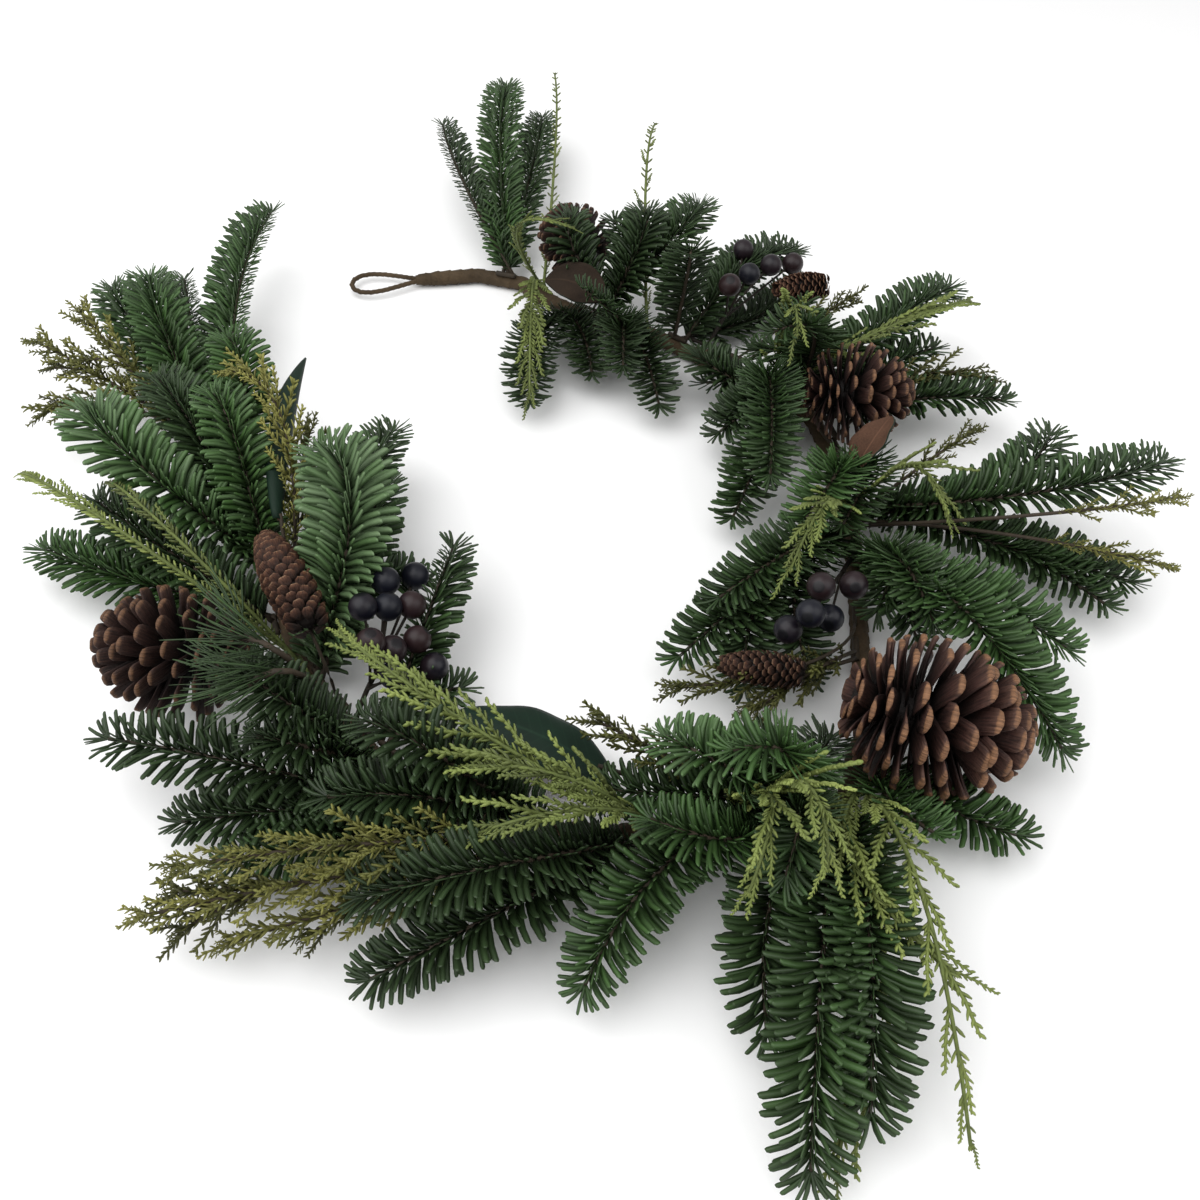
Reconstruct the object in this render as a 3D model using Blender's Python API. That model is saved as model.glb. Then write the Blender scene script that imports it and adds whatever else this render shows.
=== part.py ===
"""Christmas garland: a paper-wrapped core with a hanging loop at each end, dressed with fir, cedar,
juniper and pine, with pine cones, berries and magnolia leaves, and laid down in an open C.

The tables are in millimetres, in a frame whose origin lies on the floor near the middle of the garland,
with X to the right, Y towards the back and Z up. The core starts at its hanging loop at the back and runs
clockwise, seen from above. Each piece is bound to the core at a place along it and on one side of it:
0 degrees is the inside of the bend, 90 the top and 180 the outside.
"""

import math
import random
from dataclasses import dataclass

import bmesh
import bpy
import numpy as np
from mathutils import Matrix, Vector

MM = 0.001
UP = np.array((0.0, 0.0, 1.0))
SEED = 25

# From the tables' origin to the middle of the finished garland's box
CENTRE = (-5.75, 8.41)

# The least space between two pieces, and the lowest that a needle's tip and a twig's middle may reach
GAP = 0.3
FLOOR = 0.5
LOWEST_TWIG = 3.0

# The core: the route of its centre line over the floor
CORE_ROUTE = (
    (-110, 200), (-80, 205), (-45, 200), (-25, 175), (0, 160), (25, 140), (55, 130), (85, 105), (120, 80),
    (150, 55), (165, 15), (170, -40), (170, -90), (165, -140), (160, -190), (155, -230), (145, -260),
    (125, -265), (105, -270), (70, -275), (40, -280), (0, -285), (-40, -275), (-80, -250), (-115, -215),
    (-145, -170), (-170, -105), (-205, -40), (-240, 30), (-275, 105),
)
CORE_RADIUS = 5.0
CORE_HEIGHT = 6.0
CORE_SIDES = 7
CORE_STEP = 38.0
CORE_LEAST_STEP = 9.0
CORE_ROOM_STEP = 6.0
KNOT_PLACES = (90, 245, 430, 605, 770, 905, 1085, 1215)
KNOT_SWELL = 2.2
KNOT_LENGTH = 26.0
KNOT_FLAT = 10.0
CORE_COLOUR = (0.16, 0.11, 0.08)

# The wire loops that the garland hangs by: each leaves its neck with its two legs a little apart
LOOP_LENGTH = 56.0
LOOP_WIDTH = 25.0
LOOP_WIRE = 1.6
LOOP_SIDES = 5
LOOP_STEPS = 14
LOOP_FIRST_TURN = 0.62
LOOP_FULLEST = 0.65
NECK_LENGTH = 9.0
NECK_RADIUS = 4.4
LEG_LENGTH = 8.0

# Every bound twig's end lies along the core before it leaves it, and its sprays leave it one by one
HEEL_LENGTH = 14.0
HEEL_RADIUS = 1.9
HEEL_SIDES = 4
HEEL_OVERLAP = 0.6
HEEL_GAP = 0.15
HEEL_PUSH = 1.05
HEEL_TRIES = 9
FORK_STEP = 4.5
FORK_LENGTH = 18.0

# Sprays: a crowded one is bent clear by moving its middle and, half as far, its tip
SPRAY_STEP = 8.0
BEND_WAY = (0.0, -0.67, 0.74)
BEND_STEP = 2
MOST_BEND = 44
FOOT_RADIUS = 1.3
NEEDLE_RADIUS = 0.8
NEEDLE_SHARES = (1.0, 0.8, 0.6, 0.45)
TOP_NEEDLE = (0.72, 0.66, 0.85)
LAST_NEEDLE = 0.35
TIP_NEEDLE = 0.3


@dataclass(frozen=True)
class Foliage:
    """How one kind of plant carries its needles or branchlets, in mm and degrees."""

    spacing: float
    length: float
    root: float
    spread: float
    rise: float
    bare: float
    thick: float
    thin: float
    on_top: bool
    colour: tuple


@dataclass(frozen=True)
class Bough:
    """A bound twig: its plant, its place on the core, and its sprays.

    Each spray gives its tip, and how far its middle stands off the straight line, to the left and up."""

    plant: str
    along: float
    side: float
    sprays: tuple


@dataclass(frozen=True)
class ConeKind:
    """How a cone's scales stand: how many, the heart's share of the width, and each scale's shape."""

    segments: int
    levels: int
    heart: float
    flare: float
    thin: float
    climb: float


@dataclass(frozen=True)
class Cone:
    """A cone: its kind, the places of its base and its apex, its width, and where its wire is bound."""

    kind: str
    base: tuple
    apex: tuple
    width: float
    along: float
    side: float


@dataclass(frozen=True)
class Bunch:
    """A bunch of berries: where its stem is bound, and the middle of each berry."""

    along: float
    side: float
    places: tuple


@dataclass(frozen=True)
class Leaf:
    """A leaf: its base and tip, its width, how far it arches up, its turn about its rib, and its binding."""

    base: tuple
    tip: tuple
    width: float
    arch: float
    turn: float
    along: float
    side: float


PLANTS = {
    "fir": Foliage(27, 22, 2.6, 58, 12, 18, 1.6, 0.9, True, (0.030, 0.090, 0.045)),
    "cedar": Foliage(28, 25, 2.6, 38, 6, 26, 1.3, 0.8, False, (0.250, 0.290, 0.070)),
    "juniper": Foliage(24, 12, 2.2, 42, 20, 26, 1.3, 0.8, True, (0.150, 0.200, 0.070)),
    "pine": Foliage(12, 44, 2.2, 38, 25, 26, 1.5, 1.0, True, (0.050, 0.120, 0.050)),
}

BOUGHS = {
    "fir_01": Bough("fir", 68, 70, (
        ((-110, 365, 50), 10, 15), ((-60, 445, 45), 5, 25), ((-30, 420, 30), -5, 10))),
    "fir_02": Bough("fir", 125, 10, (((-25, 30, 15), -10, 10), ((15, 60, 15), 5, 10))),
    "fir_03": Bough("fir", 160, 95, (
        ((5, 180, 70), 20, 25), ((50, 205, 55), -15, 30), ((95, 240, 45), -20, 25))),
    "fir_04": Bough("fir", 176, 10, (((60, 25, 15), 0, 15), ((35, 45, 30), 0, 20))),
    "fir_05": Bough("fir", 220, 95, (
        ((140, 180, 40), -5, 20), ((175, 185, 25), -25, 15), ((75, 80, 90), 5, 35))),
    "fir_06": Bough("fir", 318, 120, (
        ((150, 65, 75), 5, 25), ((265, 130, 45), -10, 20), ((115, 5, 90), 20, 35))),
    "fir_07": Bough("fir", 300, 15, (
        ((85, 85, 25), 25, 15), ((90, 15, 20), 20, 20), ((95, -80, 15), 10, 15), ((115, -90, 55), 0, 35))),
    "fir_08": Bough("fir", 398, 40, (((125, -120, 45), 10, 30), ((150, -130, 60), 20, 35))),
    "fir_09": Bough("fir", 338, 165, (((285, 20, 30), 0, 10), ((250, 80, 30), 0, 10))),
    "fir_10": Bough("fir", 430, 150, (
        ((290, -30, 50), -35, 15), ((345, -65, 55), -35, 25), ((325, -135, 25), -20, 20))),
    "fir_11": Bough("fir", 478, 165, (
        ((265, -195, 35), -15, 30), ((250, -250, 20), -15, 50), ((190, -195, 50), -5, 30))),
    "fir_12": Bough("fir", 455, 15, (((55, -190, 20), 5, 20), ((75, -170, 45), 10, 25))),
    "fir_13": Bough("fir", 665, 80, (
        ((45, -260, 60), 20, 30), ((70, -290, 85), 15, 40), ((15, -265, 20), 15, 20))),
    "fir_14": Bough("fir", 680, 150, (
        ((35, -300, 55), 25, 20), ((10, -370, 15), -10, 25), ((95, -340, 55), 5, 35))),
    "fir_15": Bough("fir", 647, 172, (
        ((90, -390, 15), -15, 20), ((100, -445, 15), -5, 35), ((125, -425, 20), 0, 35))),
    "fir_16": Bough("fir", 610, 176, (((175, -310, 45), -10, 5), ((225, -290, 15), -10, 5))),
    "fir_17": Bough("fir", 745, 165, (((-85, -365, 20), 10, 20), ((-90, -335, 40), 15, 30))),
    "fir_18": Bough("fir", 835, 160, (
        ((-225, -245, 35), 5, 15), ((-185, -285, 20), 0, 10), ((-160, -305, 15), 5, 10))),
    "fir_19": Bough("fir", 880, 130, (((-155, -225, 60), 10, 30), ((-145, -255, 50), 15, 25))),
    "fir_20": Bough("fir", 790, 80, (
        ((-90, -260, 70), 10, 30), ((-110, -290, 50), 5, 20), ((-65, -250, 40), 15, 25))),
    "fir_21": Bough("fir", 888, 15, (((-60, -115, 40), -5, 15), ((-45, -200, 15), 5, 10))),
    "fir_22": Bough("fir", 950, 60, (
        ((-135, -90, 85), -25, 35), ((-105, -10, 35), 5, 20), ((-105, -75, 50), -10, 25))),
    "fir_23": Bough("fir", 1000, 165, (((-305, -100, 20), 10, 10), ((-275, -75, 35), 10, 20))),
    "fir_24": Bough("fir", 1040, 110, (
        ((-270, -40, 75), 25, 40), ((-205, -35, 80), -5, 30), ((-250, 0, 65), 0, 30))),
    "fir_25": Bough("fir", 1110, 40, (((-225, 235, 45), 15, 15), ((-210, 25, 75), -10, 30))),
    "fir_26": Bough("fir", 1150, 100, (
        ((-285, 120, 60), 5, 25), ((-330, 155, 30), 5, 15), ((-280, 165, 30), 0, 20))),
    "cedar_01": Bough("cedar", 98, 90, (
        ((-20, 445, 65), -5, 40), ((5, 135, 85), -30, 35), ((-25, 20, 30), 0, 25))),
    "cedar_02": Bough("cedar", 190, 60, (((65, 345, 60), 5, 35),)),
    "cedar_03": Bough("cedar", 298, 70, (((260, 75, 70), -30, 35), ((135, -5, 95), 0, 40))),
    "cedar_04": Bough("cedar", 441, 58, (((210, -120, 55), 0, 45), ((115, -170, 70), 0, 30))),
    "cedar_05": Bough("cedar", 692, 104, (((80, -345, 60), 10, 45), ((110, -345, 80), 5, 45))),
    "cedar_06": Bough("cedar", 629, 140, (
        ((165, -430, 15), -5, 50), ((165, -375, 50), -30, 20), ((110, -440, 10), 5, 20))),
    "cedar_07": Bough("cedar", 738, 90, (
        ((-105, -215, 80), 20, 30), ((-45, -285, 65), 10, 35), ((-35, -315, 60), 10, 30))),
    "cedar_08": Bough("cedar", 960, 100, (((-315, -70, 50), 20, 50), ((-245, -110, 80), 15, 45))),
    "juniper_01": Bough("juniper", 268, 110, (((195, 115, 50), -15, 15),)),
    "juniper_02": Bough("juniper", 362, 130, (((280, 20, 45), 5, 30),)),
    "juniper_03": Bough("juniper", 445, 110, (
        ((345, -100, 60), -45, 40), ((340, -140, 40), -20, 25), ((245, -40, 60), -10, 20))),
    "juniper_04": Bough("juniper", 545, 60, (((45, -230, 50), 30, 30), ((85, -235, 30), 5, 15))),
    "juniper_05": Bough("juniper", 685, 60, (((10, -235, 40), 10, 20),)),
    "juniper_06": Bough("juniper", 770, 150, (
        ((-190, -340, 30), 10, 25), ((-155, -345, 15), 10, 20), ((-170, -330, 55), 10, 30))),
    "juniper_07": Bough("juniper", 1005, 50, (((-200, -30, 90), -25, 40), ((-145, -50, 80), 0, 30))),
    "juniper_08": Bough("juniper", 1165, 140, (
        ((-360, 75, 40), 10, 20), ((-340, 0, 30), -10, 15), ((-320, 75, 65), 10, 25))),
    "pine_01": Bough("pine", 925, 95, (((-150, -220, 80), 25, 40), ((-145, -240, 65), 15, 35))),
}

CONE_KINDS = {
    "open": ConeKind(8, 7, 0.50, 1.45, 0.42, 0.45),
    "closed": ConeKind(6, 6, 0.72, 1.25, 0.55, 1.50),
}
CONES = {
    "pine_cone_1": Cone("open", (20, 175, 40), (-18, 212, 46), 52, 142, 130),
    "pine_cone_2": Cone("open", (145, 5, 50), (212, 0, 52), 62, 372, 150),
    "pine_cone_3": Cone("open", (135, -235, 56), (222, -258, 48), 78, 560, 120),
    "pine_cone_4": Cone("open", (-158, -208, 46), (-232, -192, 46), 68, 860, 100),
    "spruce_cone_1": Cone("closed", (178, 126, 48), (138, 115, 52), 21, 258, 150),
    "spruce_cone_2": Cone("closed", (122, -218, 50), (78, -208, 46), 19, 520, 60),
    "spruce_cone_3": Cone("closed", (-122, -200, 62), (-160, -130, 60), 27, 930, 40),
}
HEART_SPAN = (0.06, 0.88)
HEART_TWIST = 0.5
CONE_ROOM = ((0.16, 0.30, 0.86), (0.30, 0.55, 1.0), (0.55, 0.75, 0.86), (0.75, 0.88, 0.6))
WIRE_RADIUS = 0.9
WIRE_HEEL_RADIUS = 1.2
WIRE_DEPTH = 0.25
CONE_COLOUR = (0.180, 0.090, 0.055)

BUNCHES = {
    "berries_1": Bunch(236, 130, (
        (120, 155, 58), (137, 132, 60), (120, 112, 66), (105, 92, 70), (155, 150, 50))),
    "berries_2": Bunch(468, 80, (
        (130, -180, 72), (113, -198, 60), (138, -180, 48), (150, -168, 60), (122, -200, 74))),
    "berries_3": Bunch(905, 60, (
        (-90, -165, 60), (-78, -150, 48), (-98, -188, 66), (-76, -176, 54), (-72, -194, 48),
        (-92, -208, 62), (-64, -202, 36), (-82, -214, 44))),
}
BERRY_DIAMETER = 15.0
BERRY_SIDES = 5
BERRY_RINGS = (0.0, 0.16, 0.5, 0.84, 1.0)
BERRY_ROUNDNESS = 0.6
BUNCH_HEEL_RADIUS = 1.5
BUNCH_STEM_RADIUS = 1.3
STALK_RADIUS = 0.8
BERRY_COLOUR = (0.035, 0.035, 0.065)

LEAVES = {
    "magnolia_leaf_1": Leaf((22, 112, 46), (-18, 128, 50), 30, 6, 150, 150, 60),
    "magnolia_leaf_2": Leaf((170, -60, 44), (192, -34, 62), 28, 4, 150, 405, 152),
    "magnolia_leaf_3": Leaf((24, -254, 18), (-52, -222, 26), 38, 8, 0, 700, 15),
    "magnolia_leaf_4": Leaf((-154, -118, 56), (-165, 35, 55), 28, 10, 60, 985, 20),
}
LEAF_THICKNESS = 1.0
LEAF_STEPS = 5
LEAF_FOLD = 0.22
LEAF_ROOM = 1.4
LEAF_ROOM_STEP = 4.0
LEAF_HEEL_RADIUS = 1.4
LEAF_STALK_RADIUS = 1.2
LEAF_COLOUR = (0.020, 0.070, 0.030)

# Each loose stem lifts a little between the core and what it carries
STEM_LIFT = 3.0


def vec(*numbers):
    return np.array(numbers, dtype=float)


def unit(vector):
    return vector / np.linalg.norm(vector)


def smooth_line(points, step):
    """Points every step along a smooth curve through the given ones."""
    knots = np.array([2 * points[0] - points[1], *points, 2 * points[-1] - points[-2]])
    fine = []
    for before, start, end, after in zip(knots, knots[1:], knots[2:], knots[3:]):
        for t in np.linspace(0, 1, 12, endpoint=False):
            fine.append(0.5 * (2 * start + (end - before) * t
                               + (2 * before - 5 * start + 4 * end - after) * t ** 2
                               + (3 * start - before - 3 * end + after) * t ** 3))
    fine.append(knots[-2])
    return Line(fine).resampled(step)


class Line:
    """A line through space that can be read at any length along it."""

    def __init__(self, points):
        self.points = np.array(points, dtype=float)
        steps = np.linalg.norm(np.diff(self.points, axis=0), axis=1)
        self.lengths = np.concatenate([[0.0], np.cumsum(steps)])
        self.length = self.lengths[-1]

    def at(self, length):
        return np.array([np.interp(length, self.lengths, axis) for axis in self.points.T])

    def heading(self, length, reach=2.0):
        low, high = max(length - reach, 0.0), min(length + reach, self.length)
        return unit(self.at(high) - self.at(low))

    def resampled(self, step):
        count = max(2, round(self.length / step) + 1)
        return Line([self.at(length) for length in np.linspace(0, self.length, count)])

    def frame(self, length):
        """Heading, left and up at a length along the line."""
        ahead = self.heading(length)
        up = unit(UP - np.dot(UP, ahead) * ahead)
        return ahead, np.cross(up, ahead), up


def rod_gaps(start, end, starts, ends):
    """Least distances from one straight rod's axis to each of many others."""
    along, others, apart = end - start, ends - starts, start - starts
    own, other = along @ along, np.einsum("ij,ij->i", others, others)
    mixed, near, far = others @ along, apart @ along, np.einsum("ij,ij->i", others, apart)
    spread = own * other - mixed ** 2
    here = np.where(spread > 1e-9, (mixed * far - near * other) / np.maximum(spread, 1e-9), 0.0)
    here = np.clip(here, 0, 1)
    there = (mixed * here + far) / other
    here = np.where(there < 0, np.clip(-near / own, 0, 1), here)
    here = np.where(there > 1, np.clip((mixed - near) / own, 0, 1), here)
    there = np.clip(there, 0, 1)
    return np.linalg.norm(apart + np.outer(here, along) - others * there[:, None], axis=1)


class Room:
    """The space already taken, as straight rods of known radius, each in one branch of one piece."""

    def __init__(self, size=9000):
        self.starts, self.ends = np.zeros((size, 3)), np.ones((size, 3))
        self.radii, self.branches = np.zeros(size), np.zeros(size, dtype=int)
        self.pieces = np.zeros(size, dtype=int)
        self.count, self.names = 0, []

    def take(self, piece, start, end, radius, branch=0):
        if piece not in self.names:
            self.names.append(piece)
        row = self.count
        self.starts[row], self.ends[row], self.radii[row] = start, end, radius
        self.pieces[row], self.branches[row] = self.names.index(piece), branch
        self.count += 1

    def take_line(self, piece, line, thick, thin, branch=0):
        for row in range(len(line.points) - 1):
            share = line.lengths[row] / line.length
            self.take(piece, line.points[row], line.points[row + 1], thick + (thin - thick) * share, branch)

    def gap(self, piece, start, end, radius, branch=None):
        """The clear space from a new rod to the nearest of other pieces and, given its branch, of others."""
        number = self.names.index(piece) if piece in self.names else -1
        others = self.pieces[:self.count] != number
        if branch is not None:
            others |= self.branches[:self.count] != branch
        gaps = rod_gaps(start, end, self.starts[:self.count][others], self.ends[:self.count][others])
        return float((gaps - self.radii[:self.count][others]).min()) - radius


def core_radius(along):
    """The core's radius, swollen where the binding is knotted and rests on the floor."""
    off = min(abs(along - place) for place in KNOT_PLACES)
    share = (KNOT_LENGTH / 2 - off) / (KNOT_LENGTH / 2 - KNOT_FLAT / 2)
    return CORE_RADIUS + KNOT_SWELL * min(1.0, max(0.0, share))


def lay_core(room):
    """The core's line, with its room taken piece by piece, swollen knots included."""
    core = smooth_line([vec(x, y, CORE_HEIGHT) for x, y in CORE_ROUTE], CORE_STEP)
    for length in np.arange(0, core.length, CORE_ROOM_STEP):
        ahead = min(length + CORE_ROOM_STEP, core.length)
        room.take("main_stem", core.at(length), core.at(ahead), max(core_radius(length), core_radius(ahead)))
    return core


def bound_place(core, along, side, radius):
    """A point beside the core, on the given side of it, where a twig of that radius is bound."""
    ahead, left, up = core.frame(along)
    turn = math.radians(side)
    out = -left * math.cos(turn) + up * math.sin(turn)
    widest = max(core_radius(along - back) for back in range(0, round(HEEL_LENGTH) + 1, 3))
    return core.at(along) + out * (widest + GAP + radius)


def new_material(name, colour, roughness=0.7):
    material = bpy.data.materials.get(name)
    if material is None:
        material = bpy.data.materials.new(name)
        material.use_nodes = True
        shader = material.node_tree.nodes["Principled BSDF"]
        shader.inputs["Base Color"].default_value = (*colour, 1.0)
        shader.inputs["Roughness"].default_value = roughness
        shader.inputs["Metallic"].default_value = 0.0
    return material


def new_object(name, bm, material=None):
    """Close the bmesh into an object, from millimetres about the layout's origin to metres."""
    bmesh.ops.recalc_face_normals(bm, faces=bm.faces)
    bmesh.ops.transform(bm, matrix=Matrix.Scale(MM, 4) @ Matrix.Translation((-CENTRE[0], -CENTRE[1], 0.0)),
                        verts=bm.verts)
    mesh = bpy.data.meshes.new(name)
    bm.to_mesh(mesh)
    bm.free()
    if material:
        mesh.materials.append(material)
    obj = bpy.data.objects.new(name, mesh)
    bpy.context.scene.collection.objects.link(obj)
    return obj


def fuse(name, parts, material):
    """Join a piece's overlapping solids into one body with one Boolean union on a collection."""
    body, *rest = parts
    body.name = name
    if rest:
        group = bpy.data.collections.new(name + "_parts")
        for part in rest:
            group.objects.link(part)
        union = body.modifiers.new("fuse", "BOOLEAN")
        union.operation = "UNION"
        union.solver = "EXACT"
        union.operand_type = "COLLECTION"
        union.collection = group
        graph = bpy.context.evaluated_depsgraph_get()
        joined = bpy.data.meshes.new_from_object(body.evaluated_get(graph))
        body.modifiers.clear()
        body.data = joined
        for part in rest:
            bpy.data.objects.remove(part)
        bpy.data.collections.remove(group)
    body.data.name = name
    body.data.materials.clear()
    body.data.materials.append(material)
    return body


def ring_points(line, length, radius, sides, turn=0.0):
    """Points round a line at a length along it, the first one straight down."""
    ahead, left, up = line.frame(length)
    angles = [turn + math.tau * k / sides for k in range(sides)]
    return [line.at(length) + radius * (-up * math.cos(a) + left * math.sin(a)) for a in angles]


def extrude_along(bm, line, lengths, radius_at, sides, turn=0.0):
    """Extrude a many-sided rod along a line, ring by ring, and return its side faces by step."""
    first = [bm.verts.new(p) for p in ring_points(line, lengths[0], radius_at(lengths[0]), sides, turn)]
    cap, steps = bm.faces.new(first), []
    for length in lengths[1:]:
        cap = bmesh.ops.extrude_discrete_faces(bm, faces=[cap])["faces"][0]
        for vert, point in zip(cap.verts, ring_points(line, length, radius_at(length), sides, turn)):
            vert.co = point
        edges = [bm.edges.get((cap.verts[k], cap.verts[(k + 1) % sides])) for k in range(sides)]
        steps.append([next(face for face in edge.link_faces if face is not cap) for edge in edges])
    bm.faces.new(first[::-1])
    return steps, cap


def tube(name, line, radius, sides):
    """A rod of even thickness along a line."""
    bm = bmesh.new()
    extrude_along(bm, line, line.lengths, lambda length: radius, sides)
    return new_object(name, bm)


def make_core(core):
    """The paper-wrapped core, with its underside flat where its knots rest on the floor."""
    ends = {0.0, core.length}
    for place in KNOT_PLACES:
        ends |= {place - KNOT_LENGTH / 2, place - KNOT_FLAT / 2, place + KNOT_FLAT / 2, place + KNOT_LENGTH / 2}
    plain = {length for length in core.lengths if min(abs(length - end) for end in ends) > CORE_LEAST_STEP}
    bm = bmesh.new()
    extrude_along(bm, core, sorted(ends | plain), core_radius, CORE_SIDES, math.pi / CORE_SIDES)
    for vert in bm.verts:
        vert.co.z = max(vert.co.z, 0.0)
    fuse("main_stem", [new_object("main_stem", bm)], new_material("wrapped_core", CORE_COLOUR, 0.8))


def lay_loop(name, core, at_start, room):
    """The lines of a hanging loop: its neck, and the teardrop of wire that leaves it and comes back."""
    end = core.at(0.0 if at_start else core.length)
    ahead = -core.heading(0.0) if at_start else core.heading(core.length)
    left = np.cross(UP, ahead)
    inner = end + ahead * GAP
    neck = Line([inner, inner + ahead * NECK_LENGTH])
    start = neck.points[1] - ahead * LEG_LENGTH
    points = []
    for turn in np.linspace(LOOP_FIRST_TURN, math.tau - LOOP_FIRST_TURN, LOOP_STEPS + 1):
        rounding = math.sin(turn / 2) ** 2
        aside = LOOP_WIDTH / 2 * math.sin(turn) * rounding / LOOP_FULLEST
        points.append(start + ahead * LOOP_LENGTH * rounding + left * aside)
    wire = Line(points)
    room.take_line(name, neck, NECK_RADIUS, NECK_RADIUS)
    room.take_line(name, wire, LOOP_WIRE, LOOP_WIRE)
    return neck, wire


def make_loop(name, neck, wire):
    parts = [tube(name + "_neck", neck, NECK_RADIUS, CORE_SIDES), tube(name + "_wire", wire, LOOP_WIRE, LOOP_SIDES)]
    fuse(name, parts, new_material("wrapped_core", CORE_COLOUR, 0.8))


def lay_heel(name, core, along, side, radius, room):
    """The bound end of a twig or a wire, lying along the core, and the point where it leaves."""
    off = bound_place(core, along, side, radius) - core.at(along)
    for _ in range(HEEL_TRIES):
        start, end = core.at(along - HEEL_LENGTH) + off, core.at(along) + off
        heel = Line([start, end + unit(end - start) * radius * HEEL_OVERLAP])
        if room.gap(name, *heel.points, radius) >= HEEL_GAP:
            break
        off *= HEEL_PUSH
    else:
        raise ValueError(f"{name} has no room beside the core")
    room.take_line(name, heel, radius, radius)
    return heel, end


def bent_line(start, middle, end, step):
    """A smooth bow from start to end that passes through the middle point."""
    pull = 2 * middle - (start + end) / 2
    share = np.linspace(0, 1, 25)[:, None]
    return Line((1 - share) ** 2 * start + 2 * share * (1 - share) * pull + share ** 2 * end).resampled(step)


def line_gap(name, line, radius, room, branch):
    """The least clear space along a spray, which may touch its bough's other branches near the fork."""
    fork = int(np.searchsorted(line.lengths, FORK_LENGTH))
    rods = list(zip(line.points, line.points[1:]))
    others = [room.gap(name, start, end, radius) for start, end in rods[1:]]
    own = [room.gap(name, start, end, radius, branch) for start, end in rods[fork:]]
    return min(others + own)


def lay_spray(name, root, spray, radius, room, branch):
    """The line of a spray, bent as little as it takes to keep clear of the pieces placed before it."""
    tip, aside, rise = vec(*spray[0]), spray[1], spray[2]
    flat = unit((tip - root) * vec(1, 1, 0))
    middle = (root + tip) / 2 + aside * np.cross(UP, flat) + rise * UP
    bends = [0, *(sign * size for size in range(BEND_STEP, MOST_BEND + 1, BEND_STEP) for sign in (1, -1))]
    best, best_gap = None, -math.inf
    for bend in bends:
        shift = unit(vec(*BEND_WAY)) * bend
        line = bent_line(root, middle + shift, tip + shift / 2, SPRAY_STEP)
        line = Line(np.maximum(line.points, vec(-math.inf, -math.inf, LOWEST_TWIG)))
        gap = line_gap(name, line, radius, room, branch)
        if gap > best_gap:
            best, best_gap = line, gap
        if gap >= 2 * GAP:
            break
    if best_gap < GAP:
        raise ValueError(f"{name} branch {branch} has no room")
    return best


def lay_bough(name, bough, core, room):
    """The lines of a bough: its heel, and each of its sprays, which leave the heel one by one."""
    foliage = PLANTS[bough.plant]
    heel, root = lay_heel(name, core, bough.along, bough.side, HEEL_RADIUS, room)
    lines = []
    for branch, spray in enumerate(bough.sprays, start=1):
        start = root - heel.heading(0.0) * FORK_STEP * min(branch - 1, 2)
        line = lay_spray(name, start, spray, foliage.thick, room, branch)
        room.take_line(name, line, foliage.thick, foliage.thin, branch)
        lines.append(line)
    return heel, lines


def needle_ways(foliage, line, length, draw):
    """Ways and lengths of the needles at one station: left, right and, for most plants, on top."""
    ahead, left, up = line.frame(length)
    share = length / line.length
    reach = foliage.length * (1.0 - 0.35 * share ** 3) * draw.uniform(0.88, 1.08)
    spread = math.radians(foliage.spread * (1.0 - 0.35 * share ** 4) + draw.uniform(-4, 4))
    rise = math.radians(foliage.rise + draw.uniform(-6, 6))
    ways = {}
    for key, way in (("left", left), ("right", -left)):
        out = way * math.cos(rise) + up * math.sin(rise)
        ways[key] = (ahead * math.cos(spread) + out * math.sin(spread)) * reach
    if foliage.on_top:
        forward, upward, shorter = TOP_NEEDLE
        lean = left * draw.uniform(-0.35, 0.35)
        ways["top"] = (ahead * forward + (up + lean) * upward) * reach * shorter
    return ways


def pull_needle(bm, name, branch, face, way, room):
    """Draw one face out to a needle's point, shorter where another piece is near, or leave it plain."""
    root = np.array(face.calc_center_median())
    start = root + unit(way) * math.sqrt(face.calc_area()) / 2
    for share in NEEDLE_SHARES:
        point = root + way * share
        point[2] = max(point[2], FLOOR)
        middle = (root + point) / 2
        foot_gap = room.gap(name, start, middle, FOOT_RADIUS, branch)
        if min(foot_gap, room.gap(name, middle, point, NEEDLE_RADIUS, branch)) >= GAP:
            tip = bmesh.ops.poke(bm, faces=[face])["verts"][0]
            tip.co = point
            room.take(name, root, middle, FOOT_RADIUS, branch)
            room.take(name, middle, point, NEEDLE_RADIUS, branch)
            return


def make_spray(name, branch, line, foliage, room, draw):
    """A three-sided twig extruded along its line, with a needle drawn out of each face of each station."""
    first, last = foliage.bare, line.length - foliage.length * LAST_NEEDLE
    count = max(2, round((last - first) / foliage.spacing) + 1)
    stations = np.linspace(first, last, count)
    lengths = [0.0]
    for station in stations:
        lengths += [station - foliage.root / 2, station + foliage.root / 2]
    lengths.append(line.length)

    def radius_at(length):
        return foliage.thick + (foliage.thin - foliage.thick) * length / line.length

    bm = bmesh.new()
    steps, cap = extrude_along(bm, line, lengths, radius_at, 3)
    for number, station in enumerate(stations):
        left_face, top_face, right_face = steps[1 + 2 * number]
        ways = needle_ways(foliage, line, station, draw)
        for key, face in (("left", left_face), ("right", right_face), ("top", top_face)):
            if key in ways:
                pull_needle(bm, name, branch, face, ways[key], room)
    tip = bmesh.ops.poke(bm, faces=[cap])["verts"][0]
    tip.co += Vector(line.heading(line.length) * foliage.length * TIP_NEEDLE)
    return new_object(f"{name}_{branch}", bm)


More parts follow.
